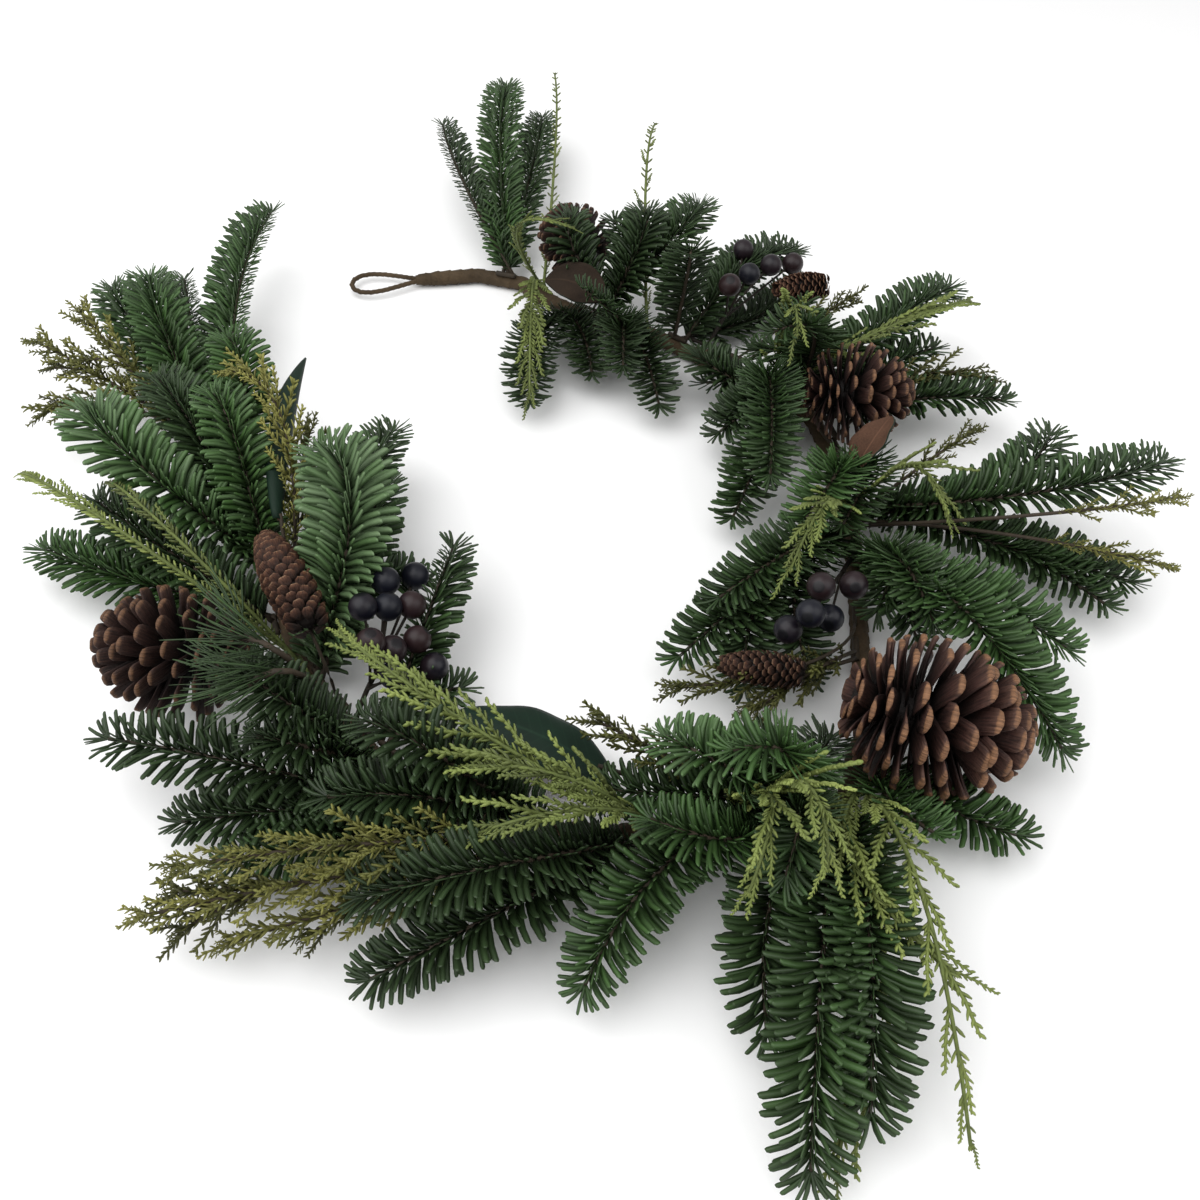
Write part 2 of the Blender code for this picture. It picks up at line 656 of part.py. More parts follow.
def make_bough(name, bough, heel, lines, room, draw):
    foliage = PLANTS[bough.plant]
    parts = [tube(name + "_heel", heel, HEEL_RADIUS, HEEL_SIDES)]
    parts += [make_spray(name, branch, line, foliage, room, draw) for branch, line in enumerate(lines, start=1)]
    fuse(name, parts, new_material(bough.plant, foliage.colour, 0.7))


def cone_profile(share):
    """A cone's width along its axis: full above the base, and drawn in to the apex."""
    return math.sin(math.pi * share ** 0.72) ** 0.62


def cone_heart(bm, tall, width, kind):
    """The solid heart of a cone, standing on the origin, and those of its faces that carry scales."""
    low, high = HEART_SPAN
    rows = []
    for level in range(1, kind.levels):
        share = level / kind.levels
        radius = width / 2 * kind.heart * cone_profile(share)
        height = tall * (low + (high - low) * share)
        turns = [math.tau * (k + HEART_TWIST * level / 2) / kind.segments for k in range(kind.segments)]
        rows.append([bm.verts.new((radius * math.cos(a), radius * math.sin(a), height)) for a in turns])
    bottom, top = bm.verts.new((0, 0, tall * low)), bm.verts.new((0, 0, tall * high))
    carriers = []
    for k in range(kind.segments):
        after = (k + 1) % kind.segments
        bm.faces.new((bottom, rows[0][after], rows[0][k]))
        bm.faces.new((top, rows[-1][k], rows[-1][after]))
        for level, (lower, upper) in enumerate(zip(rows, rows[1:])):
            face = bm.faces.new((lower[k], lower[after], upper[after], upper[k]))
            if (level + k) % 2 == 0:
                carriers.append(face)
    return carriers


def draw_scales(bm, carriers, tall, width, kind):
    """Draw the carrying faces out and up into wide, thin scales, shorter towards both ends."""
    low, high = HEART_SPAN
    for face in bmesh.ops.extrude_discrete_faces(bm, faces=carriers)["faces"]:
        middle = face.calc_center_median()
        share = (middle.z / tall - low) / (high - low)
        out = Vector((middle.x, middle.y, 0.0)).normalized()
        across = out.cross(Vector(UP))
        reach = width / 2 * (1.0 - kind.heart) * (0.55 + 0.45 * cone_profile(share))
        lift = reach * kind.climb * (0.5 + 0.8 * share)
        for vert in face.verts:
            off = vert.co - middle
            flat = across * off.dot(across) * kind.flare
            vert.co = middle + out * reach + flat + Vector(UP) * (off.z * kind.thin + lift)


def lay_cone(name, cone, core, room):
    """The lines of a cone's wire: its bound end, and the bow that runs into the cone's base."""
    base, apex = vec(*cone.base), vec(*cone.apex)
    tall = apex - base
    heel, root = lay_heel(name, core, cone.along, cone.side, WIRE_HEEL_RADIUS, room)
    wire = bent_line(root, (root + base) / 2 - unit(tall) * STEM_LIFT, base + tall * WIRE_DEPTH, 9.0)
    room.take_line(name, wire, WIRE_RADIUS, WIRE_RADIUS)
    for low, high, share in CONE_ROOM:
        room.take(name, base + tall * low, base + tall * high, cone.width / 2 * share)
    return heel, wire


def make_cone(name, cone, heel, wire):
    """A cone of drawn-out scales, wired to the core by a stalk of wire that runs into its base."""
    kind = CONE_KINDS[cone.kind]
    base, apex = Vector(cone.base), Vector(cone.apex)
    tall = (apex - base).length
    bm = bmesh.new()
    draw_scales(bm, cone_heart(bm, tall, cone.width, kind), tall, cone.width, kind)
    turn = (apex - base).to_track_quat("Z", "Y").to_matrix().to_4x4()
    bmesh.ops.transform(bm, matrix=Matrix.Translation(base) @ turn, verts=bm.verts)
    parts = [new_object(name + "_scales", bm), tube(name + "_heel", heel, WIRE_HEEL_RADIUS, HEEL_SIDES),
             tube(name + "_wire", wire, WIRE_RADIUS, HEEL_SIDES)]
    fuse(name, parts, new_material("cone_scales", CONE_COLOUR, 0.75))


def lay_bunch(name, bunch, core, room):
    """The lines of a bunch: its bound end, its stem, and one stalk to the far side of each berry."""
    heel, root = lay_heel(name, core, bunch.along, bunch.side, BUNCH_HEEL_RADIUS, room)
    places = np.array(bunch.places, dtype=float)
    fork = root * 0.45 + places.mean(axis=0) * 0.55
    stem = bent_line(root, (root + fork) / 2 + UP * STEM_LIFT, fork, 10.0)
    room.take_line(name, stem, BUNCH_STEM_RADIUS, BUNCH_STEM_RADIUS)
    stalks = []
    for number, place in enumerate(places):
        start = stem.at(stem.length * (1.0 - 0.5 * number / len(places)))
        way = unit(place - start)
        stalks.append(Line([start, place + way * BERRY_DIAMETER / 2]))
        room.take(name, place - way * 2, place + way * 2, BERRY_DIAMETER / 2 - 0.5)
        room.take(name, start, place, STALK_RADIUS)
    return heel, stem, stalks


def make_berry(name, stalk):
    """A berry that swells out of the end of its own thin stalk."""
    low = stalk.length - BERRY_DIAMETER

    def radius_at(length):
        share = max(0.0, min(1.0, (length - low) / BERRY_DIAMETER))
        return max(STALK_RADIUS, BERRY_DIAMETER / 2 * math.sin(math.pi * share) ** BERRY_ROUNDNESS)

    bm = bmesh.new()
    extrude_along(bm, stalk, [0.0, *(low + BERRY_DIAMETER * share for share in BERRY_RINGS)], radius_at, BERRY_SIDES)
    return new_object(name, bm)


def make_bunch(name, heel, stem, stalks):
    parts = [tube(name + "_heel", heel, BUNCH_HEEL_RADIUS, HEEL_SIDES),
             tube(name + "_stem", stem, BUNCH_STEM_RADIUS, HEEL_SIDES)]
    parts += [make_berry(f"{name}_{number}", stalk) for number, stalk in enumerate(stalks, start=1)]
    fuse(name, parts, new_material("berry", BERRY_COLOUR, 0.45))


def leaf_half_width(share, width):
    """A leaf's half width along its rib: narrow at its stalk, widest past the middle, and pointed."""
    return width / 2 * math.sin(math.pi * min(1.0, share * 0.97 + 0.03) ** 0.85) ** 0.8


def leaf_rows(leaf, rib):
    """Left edge, rib and right edge of a leaf, row by row from its base to its tip."""
    turn = math.radians(leaf.turn)
    rows = []
    for share in np.linspace(0.02, 0.98, LEAF_STEPS + 1):
        ahead, left, up = rib.frame(share * rib.length)
        across = left * math.cos(turn) + up * math.sin(turn)
        under = -np.cross(ahead, across) * LEAF_FOLD
        middle, half = rib.at(share * rib.length), leaf_half_width(share, leaf.width)
        rows.append(np.array([middle + (across + under) * half, middle, middle + (under - across) * half]))
    return rows


def lay_leaf(name, leaf, core, room):
    """The lines of a leaf: its bound end, its stalk and its rib."""
    base, tip = vec(*leaf.base), vec(*leaf.tip)
    heel, root = lay_heel(name, core, leaf.along, leaf.side, LEAF_HEEL_RADIUS, room)
    rib = bent_line(base, (base + tip) / 2 + UP * leaf.arch, tip, 4.0)
    stalk = bent_line(root, (root + base) / 2 + UP * STEM_LIFT, rib.at(6.0), 10.0)
    room.take_line(name, stalk, LEAF_STALK_RADIUS, LEAF_STALK_RADIUS)
    rows = leaf_rows(leaf, rib)
    for low, high in zip(rows, rows[1:]):
        count = math.ceil(np.linalg.norm(high - low, axis=1).max() / LEAF_ROOM_STEP)
        for share in np.linspace(0, 1, count + 1):
            left_edge, middle, right_edge = low + (high - low) * share
            room.take(name, left_edge, middle, LEAF_ROOM)
            room.take(name, middle, right_edge, LEAF_ROOM)
    return heel, stalk, rib


def make_leaf(name, leaf, heel, stalk, rib):
    """A magnolia leaf: an arched, folded blade of even thickness on a stalk bound to the core."""
    bm = bmesh.new()
    rows = [[bm.verts.new(point) for point in row] for row in leaf_rows(leaf, rib)]
    for low, high in zip(rows, rows[1:]):
        for k in range(2):
            bm.faces.new((low[k], low[k + 1], high[k + 1], high[k]))
    bmesh.ops.triangulate(bm, faces=bm.faces)
    bmesh.ops.recalc_face_normals(bm, faces=bm.faces)
    bmesh.ops.solidify(bm, geom=bm.faces[:], thickness=LEAF_THICKNESS)
    parts = [new_object(name + "_blade", bm), tube(name + "_heel", heel, LEAF_HEEL_RADIUS, HEEL_SIDES),
             tube(name + "_stalk", stalk, LEAF_STALK_RADIUS, HEEL_SIDES)]
    fuse(name, parts, new_material("magnolia_leaf", LEAF_COLOUR, 0.35))


def main():
    for obj in list(bpy.data.objects):
        bpy.data.objects.remove(obj)
    draw = random.Random(SEED)
    room = Room()
    core = lay_core(room)
    make_core(core)
    for name, at_start in (("hanging_loop_1", True), ("hanging_loop_2", False)):
        make_loop(name, *lay_loop(name, core, at_start, room))
    for name, cone in CONES.items():
        make_cone(name, cone, *lay_cone(name, cone, core, room))
    for name, bunch in BUNCHES.items():
        make_bunch(name, *lay_bunch(name, bunch, core, room))
    for name, leaf in LEAVES.items():
        make_leaf(name, leaf, *lay_leaf(name, leaf, core, room))
    laid = {name: lay_bough(name, bough, core, room) for name, bough in BOUGHS.items()}
    for name, (heel, lines) in laid.items():
        make_bough(name, BOUGHS[name], heel, lines, room, draw)


main()
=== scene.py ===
"""The looks of the christmas garland: its needles, fronds, cones, berries, leaves and wrapped core.

The tables and the rules that lay each twig are the same as in the part's source, so every twig here lies
where its solid does. Lengths are millimetres until a mesh is made, in a frame whose origin lies on the
floor near the middle of the garland, with X to the right, Y towards the back and Z up.
"""

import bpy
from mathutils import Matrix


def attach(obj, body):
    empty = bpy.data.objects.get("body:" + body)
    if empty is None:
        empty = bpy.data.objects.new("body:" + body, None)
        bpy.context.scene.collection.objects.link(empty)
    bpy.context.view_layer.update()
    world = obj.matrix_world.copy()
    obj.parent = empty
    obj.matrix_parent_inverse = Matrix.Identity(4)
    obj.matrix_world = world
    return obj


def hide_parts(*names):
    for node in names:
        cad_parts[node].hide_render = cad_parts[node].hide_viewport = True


bl_info = {
    "name": "Christmas Garland",
    "version": (1, 0, 0),
    "blender": (4, 5, 0),
    "location": "View3D > Sidebar > Garland",
    "description": "Dresses a garland's frame with needles, fronds, cones, berries and magnolia leaves",
    "category": "Object",
}

import math
from dataclasses import dataclass
from functools import lru_cache

import bpy
import numpy as np
from bpy.props import FloatProperty, FloatVectorProperty, PointerProperty
from mathutils import Matrix, Vector

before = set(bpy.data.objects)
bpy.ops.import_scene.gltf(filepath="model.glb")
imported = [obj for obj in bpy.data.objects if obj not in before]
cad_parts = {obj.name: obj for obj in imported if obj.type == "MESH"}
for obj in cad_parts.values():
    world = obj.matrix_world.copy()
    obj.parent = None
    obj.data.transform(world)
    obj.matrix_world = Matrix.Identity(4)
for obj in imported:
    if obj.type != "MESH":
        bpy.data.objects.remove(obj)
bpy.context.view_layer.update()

MM = 0.001
UP = np.array((0.0, 0.0, 1.0))
BODY = "root"
SEED = 25
TONE = "tone"

# From the tables' origin to the middle of the garland's box
CENTRE = (-5.75, 8.41)
GAP = 0.3
LOWEST_TWIG = 3.0
HEADING_REACH = 2.0
CURVE_STEPS = 12
BOW_POINTS = 25
LOWEST_POINT = 0.3

# The core: the route of its centre line over the floor
CORE_ROUTE = (
    (-110, 200), (-80, 205), (-45, 200), (-25, 175), (0, 160), (25, 140), (55, 130), (85, 105), (120, 80),
    (150, 55), (165, 15), (170, -40), (170, -90), (165, -140), (160, -190), (155, -230), (145, -260),
    (125, -265), (105, -270), (70, -275), (40, -280), (0, -285), (-40, -275), (-80, -250), (-115, -215),
    (-145, -170), (-170, -105), (-205, -40), (-240, 30), (-275, 105),
)
CORE_RADIUS = 5.0
CORE_HEIGHT = 6.0
CORE_STEP = 38.0
CORE_ROOM_STEP = 6.0
KNOT_PLACES = (90, 245, 430, 605, 770, 905, 1085, 1215)
KNOT_SWELL = 2.2
KNOT_LENGTH = 26.0
KNOT_FLAT = 10.0

# The wire loops that the garland hangs by
LOOP_LENGTH = 56.0
LOOP_WIDTH = 25.0
LOOP_WIRE = 1.6
LOOP_STEPS = 14
LOOP_FIRST_TURN = 0.62
LOOP_FULLEST = 0.65
NECK_LENGTH = 9.0
NECK_RADIUS = 4.4
LEG_LENGTH = 8.0

# Bound ends, and how a spray leaves them and is bent clear of its neighbours
HEEL_LENGTH = 14.0
HEEL_RADIUS = 1.9
HEEL_OVERLAP = 0.6
HEEL_GAP = 0.15
HEEL_PUSH = 1.05
HEEL_TRIES = 9
FORK_STEP = 4.5
FORK_BRANCHES = 2
FORK_LENGTH = 18.0
SPRAY_STEP = 8.0
BEND_WAY = (0.0, -0.67, 0.74)
BEND_STEP = 2
MOST_BEND = 44


@dataclass(frozen=True)
class Foliage:
    """One kind of plant: its twig's radius at the root and at the tip, in mm."""

    thick: float
    thin: float


@dataclass(frozen=True)
class Bough:
    """A bound twig: its plant, its place on the core, and its sprays.

    Each spray gives its tip, and how far its middle stands off the straight line, to the left and up."""

    plant: str
    along: float
    side: float
    sprays: tuple


@dataclass(frozen=True)
class Cone:
    """A cone: its kind, the places of its base and its apex, its width, and where its wire is bound."""

    kind: str
    base: tuple
    apex: tuple
    width: float
    along: float
    side: float


@dataclass(frozen=True)
class Bunch:
    """A bunch of berries: where its stem is bound, and the middle of each berry."""

    along: float
    side: float
    places: tuple


@dataclass(frozen=True)
class Leaf:
    """A leaf: its base and tip, its width, how far it arches up, its turn about its rib, and its binding."""

    base: tuple
    tip: tuple
    width: float
    arch: float
    turn: float
    along: float
    side: float


PLANTS = {
    "fir": Foliage(1.6, 0.9),
    "cedar": Foliage(1.3, 0.8),
    "juniper": Foliage(1.3, 0.8),
    "pine": Foliage(1.5, 1.0),
}

BOUGHS = {
    "fir_01": Bough("fir", 68, 70, (
        ((-110, 365, 50), 10, 15), ((-60, 445, 45), 5, 25), ((-30, 420, 30), -5, 10))),
    "fir_02": Bough("fir", 125, 10, (((-25, 30, 15), -10, 10), ((15, 60, 15), 5, 10))),
    "fir_03": Bough("fir", 160, 95, (
        ((5, 180, 70), 20, 25), ((50, 205, 55), -15, 30), ((95, 240, 45), -20, 25))),
    "fir_04": Bough("fir", 176, 10, (((60, 25, 15), 0, 15), ((35, 45, 30), 0, 20))),
    "fir_05": Bough("fir", 220, 95, (
        ((140, 180, 40), -5, 20), ((175, 185, 25), -25, 15), ((75, 80, 90), 5, 35))),
    "fir_06": Bough("fir", 318, 120, (
        ((150, 65, 75), 5, 25), ((265, 130, 45), -10, 20), ((115, 5, 90), 20, 35))),
    "fir_07": Bough("fir", 300, 15, (
        ((85, 85, 25), 25, 15), ((90, 15, 20), 20, 20), ((95, -80, 15), 10, 15), ((115, -90, 55), 0, 35))),
    "fir_08": Bough("fir", 398, 40, (((125, -120, 45), 10, 30), ((150, -130, 60), 20, 35))),
    "fir_09": Bough("fir", 338, 165, (((285, 20, 30), 0, 10), ((250, 80, 30), 0, 10))),
    "fir_10": Bough("fir", 430, 150, (
        ((290, -30, 50), -35, 15), ((345, -65, 55), -35, 25), ((325, -135, 25), -20, 20))),
    "fir_11": Bough("fir", 478, 165, (
        ((265, -195, 35), -15, 30), ((250, -250, 20), -15, 50), ((190, -195, 50), -5, 30))),
    "fir_12": Bough("fir", 455, 15, (((55, -190, 20), 5, 20), ((75, -170, 45), 10, 25))),
    "fir_13": Bough("fir", 665, 80, (
        ((45, -260, 60), 20, 30), ((70, -290, 85), 15, 40), ((15, -265, 20), 15, 20))),
    "fir_14": Bough("fir", 680, 150, (
        ((35, -300, 55), 25, 20), ((10, -370, 15), -10, 25), ((95, -340, 55), 5, 35))),
    "fir_15": Bough("fir", 647, 172, (
        ((90, -390, 15), -15, 20), ((100, -445, 15), -5, 35), ((125, -425, 20), 0, 35))),
    "fir_16": Bough("fir", 610, 176, (((175, -310, 45), -10, 5), ((225, -290, 15), -10, 5))),
    "fir_17": Bough("fir", 745, 165, (((-85, -365, 20), 10, 20), ((-90, -335, 40), 15, 30))),
    "fir_18": Bough("fir", 835, 160, (
        ((-225, -245, 35), 5, 15), ((-185, -285, 20), 0, 10), ((-160, -305, 15), 5, 10))),
    "fir_19": Bough("fir", 880, 130, (((-155, -225, 60), 10, 30), ((-145, -255, 50), 15, 25))),
    "fir_20": Bough("fir", 790, 80, (
        ((-90, -260, 70), 10, 30), ((-110, -290, 50), 5, 20), ((-65, -250, 40), 15, 25))),
    "fir_21": Bough("fir", 888, 15, (((-60, -115, 40), -5, 15), ((-45, -200, 15), 5, 10))),
    "fir_22": Bough("fir", 950, 60, (
        ((-135, -90, 85), -25, 35), ((-105, -10, 35), 5, 20), ((-105, -75, 50), -10, 25))),
    "fir_23": Bough("fir", 1000, 165, (((-305, -100, 20), 10, 10), ((-275, -75, 35), 10, 20))),
    "fir_24": Bough("fir", 1040, 110, (
        ((-270, -40, 75), 25, 40), ((-205, -35, 80), -5, 30), ((-250, 0, 65), 0, 30))),
    "fir_25": Bough("fir", 1110, 40, (((-225, 235, 45), 15, 15), ((-210, 25, 75), -10, 30))),
    "fir_26": Bough("fir", 1150, 100, (
        ((-285, 120, 60), 5, 25), ((-330, 155, 30), 5, 15), ((-280, 165, 30), 0, 20))),
    "cedar_01": Bough("cedar", 98, 90, (
        ((-20, 445, 65), -5, 40), ((5, 135, 85), -30, 35), ((-25, 20, 30), 0, 25))),
    "cedar_02": Bough("cedar", 190, 60, (((65, 345, 60), 5, 35),)),
    "cedar_03": Bough("cedar", 298, 70, (((260, 75, 70), -30, 35), ((135, -5, 95), 0, 40))),
    "cedar_04": Bough("cedar", 441, 58, (((210, -120, 55), 0, 45), ((115, -170, 70), 0, 30))),
    "cedar_05": Bough("cedar", 692, 104, (((80, -345, 60), 10, 45), ((110, -345, 80), 5, 45))),
    "cedar_06": Bough("cedar", 629, 140, (
        ((165, -430, 15), -5, 50), ((165, -375, 50), -30, 20), ((110, -440, 10), 5, 20))),
    "cedar_07": Bough("cedar", 738, 90, (
        ((-105, -215, 80), 20, 30), ((-45, -285, 65), 10, 35), ((-35, -315, 60), 10, 30))),
    "cedar_08": Bough("cedar", 960, 100, (((-315, -70, 50), 20, 50), ((-245, -110, 80), 15, 45))),
    "juniper_01": Bough("juniper", 268, 110, (((195, 115, 50), -15, 15),)),
    "juniper_02": Bough("juniper", 362, 130, (((280, 20, 45), 5, 30),)),
    "juniper_03": Bough("juniper", 445, 110, (
        ((345, -100, 60), -45, 40), ((340, -140, 40), -20, 25), ((245, -40, 60), -10, 20))),
    "juniper_04": Bough("juniper", 545, 60, (((45, -230, 50), 30, 30), ((85, -235, 30), 5, 15))),
    "juniper_05": Bough("juniper", 685, 60, (((10, -235, 40), 10, 20),)),
    "juniper_06": Bough("juniper", 770, 150, (
        ((-190, -340, 30), 10, 25), ((-155, -345, 15), 10, 20), ((-170, -330, 55), 10, 30))),
    "juniper_07": Bough("juniper", 1005, 50, (((-200, -30, 90), -25, 40), ((-145, -50, 80), 0, 30))),
    "juniper_08": Bough("juniper", 1165, 140, (
        ((-360, 75, 40), 10, 20), ((-340, 0, 30), -10, 15), ((-320, 75, 65), 10, 25))),
    "pine_01": Bough("pine", 925, 95, (((-150, -220, 80), 25, 40), ((-145, -240, 65), 15, 35))),
}

CONES = {
    "pine_cone_1": Cone("open", (20, 175, 40), (-18, 212, 46), 52, 142, 130),
    "pine_cone_2": Cone("open", (145, 5, 50), (212, 0, 52), 62, 372, 150),
    "pine_cone_3": Cone("open", (135, -235, 56), (222, -258, 48), 78, 560, 120),
    "pine_cone_4": Cone("open", (-158, -208, 46), (-232, -192, 46), 68, 860, 100),
    "spruce_cone_1": Cone("slim", (178, 126, 48), (138, 115, 52), 21, 258, 150),
    "spruce_cone_2": Cone("slim", (122, -218, 50), (78, -208, 46), 19, 520, 60),
    "spruce_cone_3": Cone("slim", (-122, -200, 62), (-160, -130, 60), 27, 930, 40),
}
CONE_ROOM = ((0.16, 0.30, 0.86), (0.30, 0.55, 1.0), (0.55, 0.75, 0.86), (0.75, 0.88, 0.6))
WIRE_RADIUS = 0.9
WIRE_HEEL_RADIUS = 1.2
WIRE_DEPTH = 0.25

BUNCHES = {
    "berries_1": Bunch(236, 130, (
        (120, 155, 58), (137, 132, 60), (120, 112, 66), (105, 92, 70), (155, 150, 50))),
    "berries_2": Bunch(468, 80, (
        (130, -180, 72), (113, -198, 60), (138, -180, 48), (150, -168, 60), (122, -200, 74))),
    "berries_3": Bunch(905, 60, (
        (-90, -165, 60), (-78, -150, 48), (-98, -188, 66), (-76, -176, 54), (-72, -194, 48),
        (-92, -208, 62), (-64, -202, 36), (-82, -214, 44))),
}
BERRY_DIAMETER = 15.0
BUNCH_HEEL_RADIUS = 1.5
BUNCH_STEM_RADIUS = 1.3
STALK_RADIUS = 0.8
CROWN_INSIDE = 0.13
CROWN_EDGE = 0.20

LEAVES = {
    "magnolia_leaf_1": Leaf((22, 112, 46), (-18, 128, 50), 30, 6, 150, 150, 60),
    "magnolia_leaf_2": Leaf((170, -60, 44), (192, -34, 62), 28, 4, 150, 405, 152),
    "magnolia_leaf_3": Leaf((24, -254, 18), (-52, -222, 26), 38, 8, 0, 700, 15),
    "magnolia_leaf_4": Leaf((-154, -118, 56), (-165, 35, 55), 28, 10, 60, 985, 20),
}
LEAF_STEPS = 5
LEAF_FOLD = 0.22
LEAF_ROOM = 1.4
LEAF_ROOM_STEP = 4.0
LEAF_HEEL_RADIUS = 1.4
LEAF_STALK_RADIUS = 1.2
LEAF_THICKNESS = 0.9

# Each loose stem lifts a little between the core and what it carries
STEM_LIFT = 3.0

# How the plants are dressed. A row of fir needles is its rise, spacing, share of full length and spread
GOLDEN_TURN = math.radians(137.508)
FIR_BARE = 7.0
FIR_ROWS = ((4.0, 3.9, 1.0, 60.0), (25.0, 4.1, 0.96, 57.0), (50.0, 4.4, 0.78, 48.0), (78.0, 5.6, 0.52, 32.0),
            (-16.0, 7.0, 0.85, 60.0))
FIR_TRIM = 9.0
CEDAR_BARE = 14.0
CEDAR_TRIM = 4.0
CEDAR_SPACING = 8.0
CEDAR_SPREAD = 27.0
JUNIPER_BARE = 14.0
JUNIPER_TRIM = 17.0
JUNIPER_SPACING = 4.5
PINE_NEEDLES = 64
PINE_LEVEL = 0.15

# The usual shade of each kind of foliage, from 0 for the deepest tone to 1 for the palest
FIR_SHADE = 0.30
CEDAR_SHADE = 0.5
JUNIPER_SHADE = 0.4
PINE_SHADE = 0.3
LEAST_EDGE = 1e-5
SHORT_SIDE = 0.45
SHOOT_PULL = 0.45
CEDAR_SPUR = 5.0
JUNIPER_BARE_SHARE = 0.22
PINE_LEAN = (-0.35, 0.1, 0.0)

# How needles stand along a twig: how unevenly they follow, how far off they start, over how many mm they
# get longer at its start and shorter at its end, and how long the last ones are
ROW_SHIFT = 0.3
NEEDLE_FOOT = 0.6
START_TAPER = 25.0
END_TAPER = 42.0
TIP_LENGTHS = (0.50, 0.66)

# Outlines of shapes that are one unit long, ring by ring: the place along it, its width and its height.
# A needle's outline also has its number of sides, their turn and its thickness as a share of its width
NEEDLE = (4, 0.0, 0.36, (
    (0.0, 0.45, 0.9), (0.15, 0.84, 1.0), (0.60, 1.0, 0.9), (0.94, 0.90, 0.7), (1.0, 0.52, 0.4)))
PLAIN_NEEDLE = (3, math.pi / 6, 0.42, (
    (0.0, 0.55, 0.9), (0.5, 1.15, 0.9), (0.93, 0.95, 0.7), (1.0, 0.45, 0.4)))
OPEN_SCALE = ((0.0, 0.95, 0.12), (0.35, 1.06, 0.11), (0.70, 1.06, 0.12), (0.90, 0.98, 0.17),
              (0.975, 0.76, 0.23), (1.0, 0.48, 0.15))
SLIM_SCALE = ((0.0, 0.34, 0.10), (0.45, 0.84, 0.09), (0.80, 0.90, 0.08), (1.0, 0.44, 0.05))
SCALE_WIDTHS = {"pine_cone_1": 0.135, "pine_cone_2": 0.155, "pine_cone_3": 0.18, "pine_cone_4": 0.15}


@dataclass(frozen=True)
class ConeForm:
    """How a kind of cone is built; heart, least and spine are shares of its width.

    Its scales sit from the lowest share of its height up over the rest, and lean up by these degrees at
    these heights, give or take the unevenness."""

    count: int
    lowest: float
    climb: float
    heights: tuple
    leans: tuple
    unevenness: float
    heart: float
    least: float
    spine: float


CONE_FORMS = {
    "open": ConeForm(132, 0.14, 0.68, (0.0, 0.12, 0.4, 0.7, 0.9, 1.0), (-66.0, -34.0, 0.0, 22.0, 46.0, 80.0),
                     5.0, 0.09, 0.16, 0.15),
    "slim": ConeForm(150, 0.02, 0.86, (0.0, 0.5, 1.0), (20.0, 36.0, 70.0), 2.5, 0.26, 0.26, 0.33),
}

# What sets single sprays apart. These tables give a bough's branches in order, with None where one is usual
# Space between needles, as a factor
THINNED = {"fir_10": (1.35, 1.35), "fir_15": (1.2, 1.2, 1.2), "fir_18": (1.5,)}

# The side whose needles are short: 1 for the left of the twig, -1 for its right
ONE_SIDED = {"fir_01": (1.0,), "fir_21": (1.0,), "fir_25": (-1.0,), "fir_26": (None, None, -1.0)}

# Length of needles, as a factor
LONGER = {
    "fir_01": (0.8, 0.9, 0.85), "fir_04": (None, None, 0.85), "fir_15": (1.1, 1.1, 1.1),
    "fir_22": (1.25,), "fir_24": (1.12,), "fir_25": (1.1,),
}

# Size of a cedar stem's branchlets and space between them, as factors, and how far it stays bare, in mm
CEDAR_SIZES = {"cedar_01": (0.42, 0.5), "cedar_02": (0.55,), "cedar_08": (0.6, 0.5)}
CEDAR_OPEN = {"cedar_01": (1.9,), "cedar_02": (1.8,), "cedar_06": (1.6, None, 1.4)}
CEDAR_BARES = {"cedar_08": (125.0, 40.0)}

# Size of a juniper stem's branchlets, as a factor, and the share of its length that stays bare
JUNIPER_SIZES = {"juniper_03": (0.75, 0.75, 0.8)}
JUNIPER_BARES = {"juniper_03": (0.6, 0.62, 0.4)}

# Shades, from 0 for the deepest tone to 1 for the palest. Most are the pieces' own tones, but the low shades
# of magnolia_leaf_1 and pine_cone_4 are painted shade from the fir that lies over them
TONES_AND_PAINTED_SHADE = {
    "cedar_05": (0.62, 0.68), "cedar_06": (0.62, 0.6), "cedar_07": (0.62,), "cedar_08": (0.72, 0.35),
    "fir_01": (0.2, 0.42), "fir_02": (0.15, 0.15), "fir_03": (0.15, 0.15, None, 0.15),
    "fir_04": (0.12, 0.12, 0.25, 0.15), "fir_05": (0.15, 0.15, 0.15, 0.15, 0.15),
    "fir_07": (0.2, 0.2, None, None, 0.12, 0.12), "fir_08": (0.55,), "fir_11": (0.48, 0.48),
    "fir_12": (None, None, 0.15, 0.2), "fir_13": (0.66, 0.55, None, 0.15, 0.25), "fir_14": (0.45, 0.4),
    "fir_16": (0.58, 0.5), "fir_17": (0.12, 0.12), "fir_18": (0.15, 0.15), "fir_19": (0.12, 0.12),
    "fir_20": (0.12, 0.15), "fir_22": (0.85,), "fir_23": (0.5,), "fir_24": (0.75, 0.66),
    "fir_25": (0.42, 0.5), "fir_26": (0.45, 0.4), "juniper_03": (0.8, 0.75),
    "juniper_06": (0.8, 0.8, 0.7), "juniper_07": (0.95,), "juniper_08": (0.7, 0.6, 0.7),
    "magnolia_leaf_1": (0.0,), "magnolia_leaf_2": (0.6,), "magnolia_leaf_3": (0.3,),
    "magnolia_leaf_4": (0.4,), "pine_cone_1": (0.15,), "pine_cone_2": (0.35,), "pine_cone_3": (0.55,),
    "pine_cone_4": (0.15,), "spruce_cone_1": (0.85,), "spruce_cone_3": (0.8,),
}

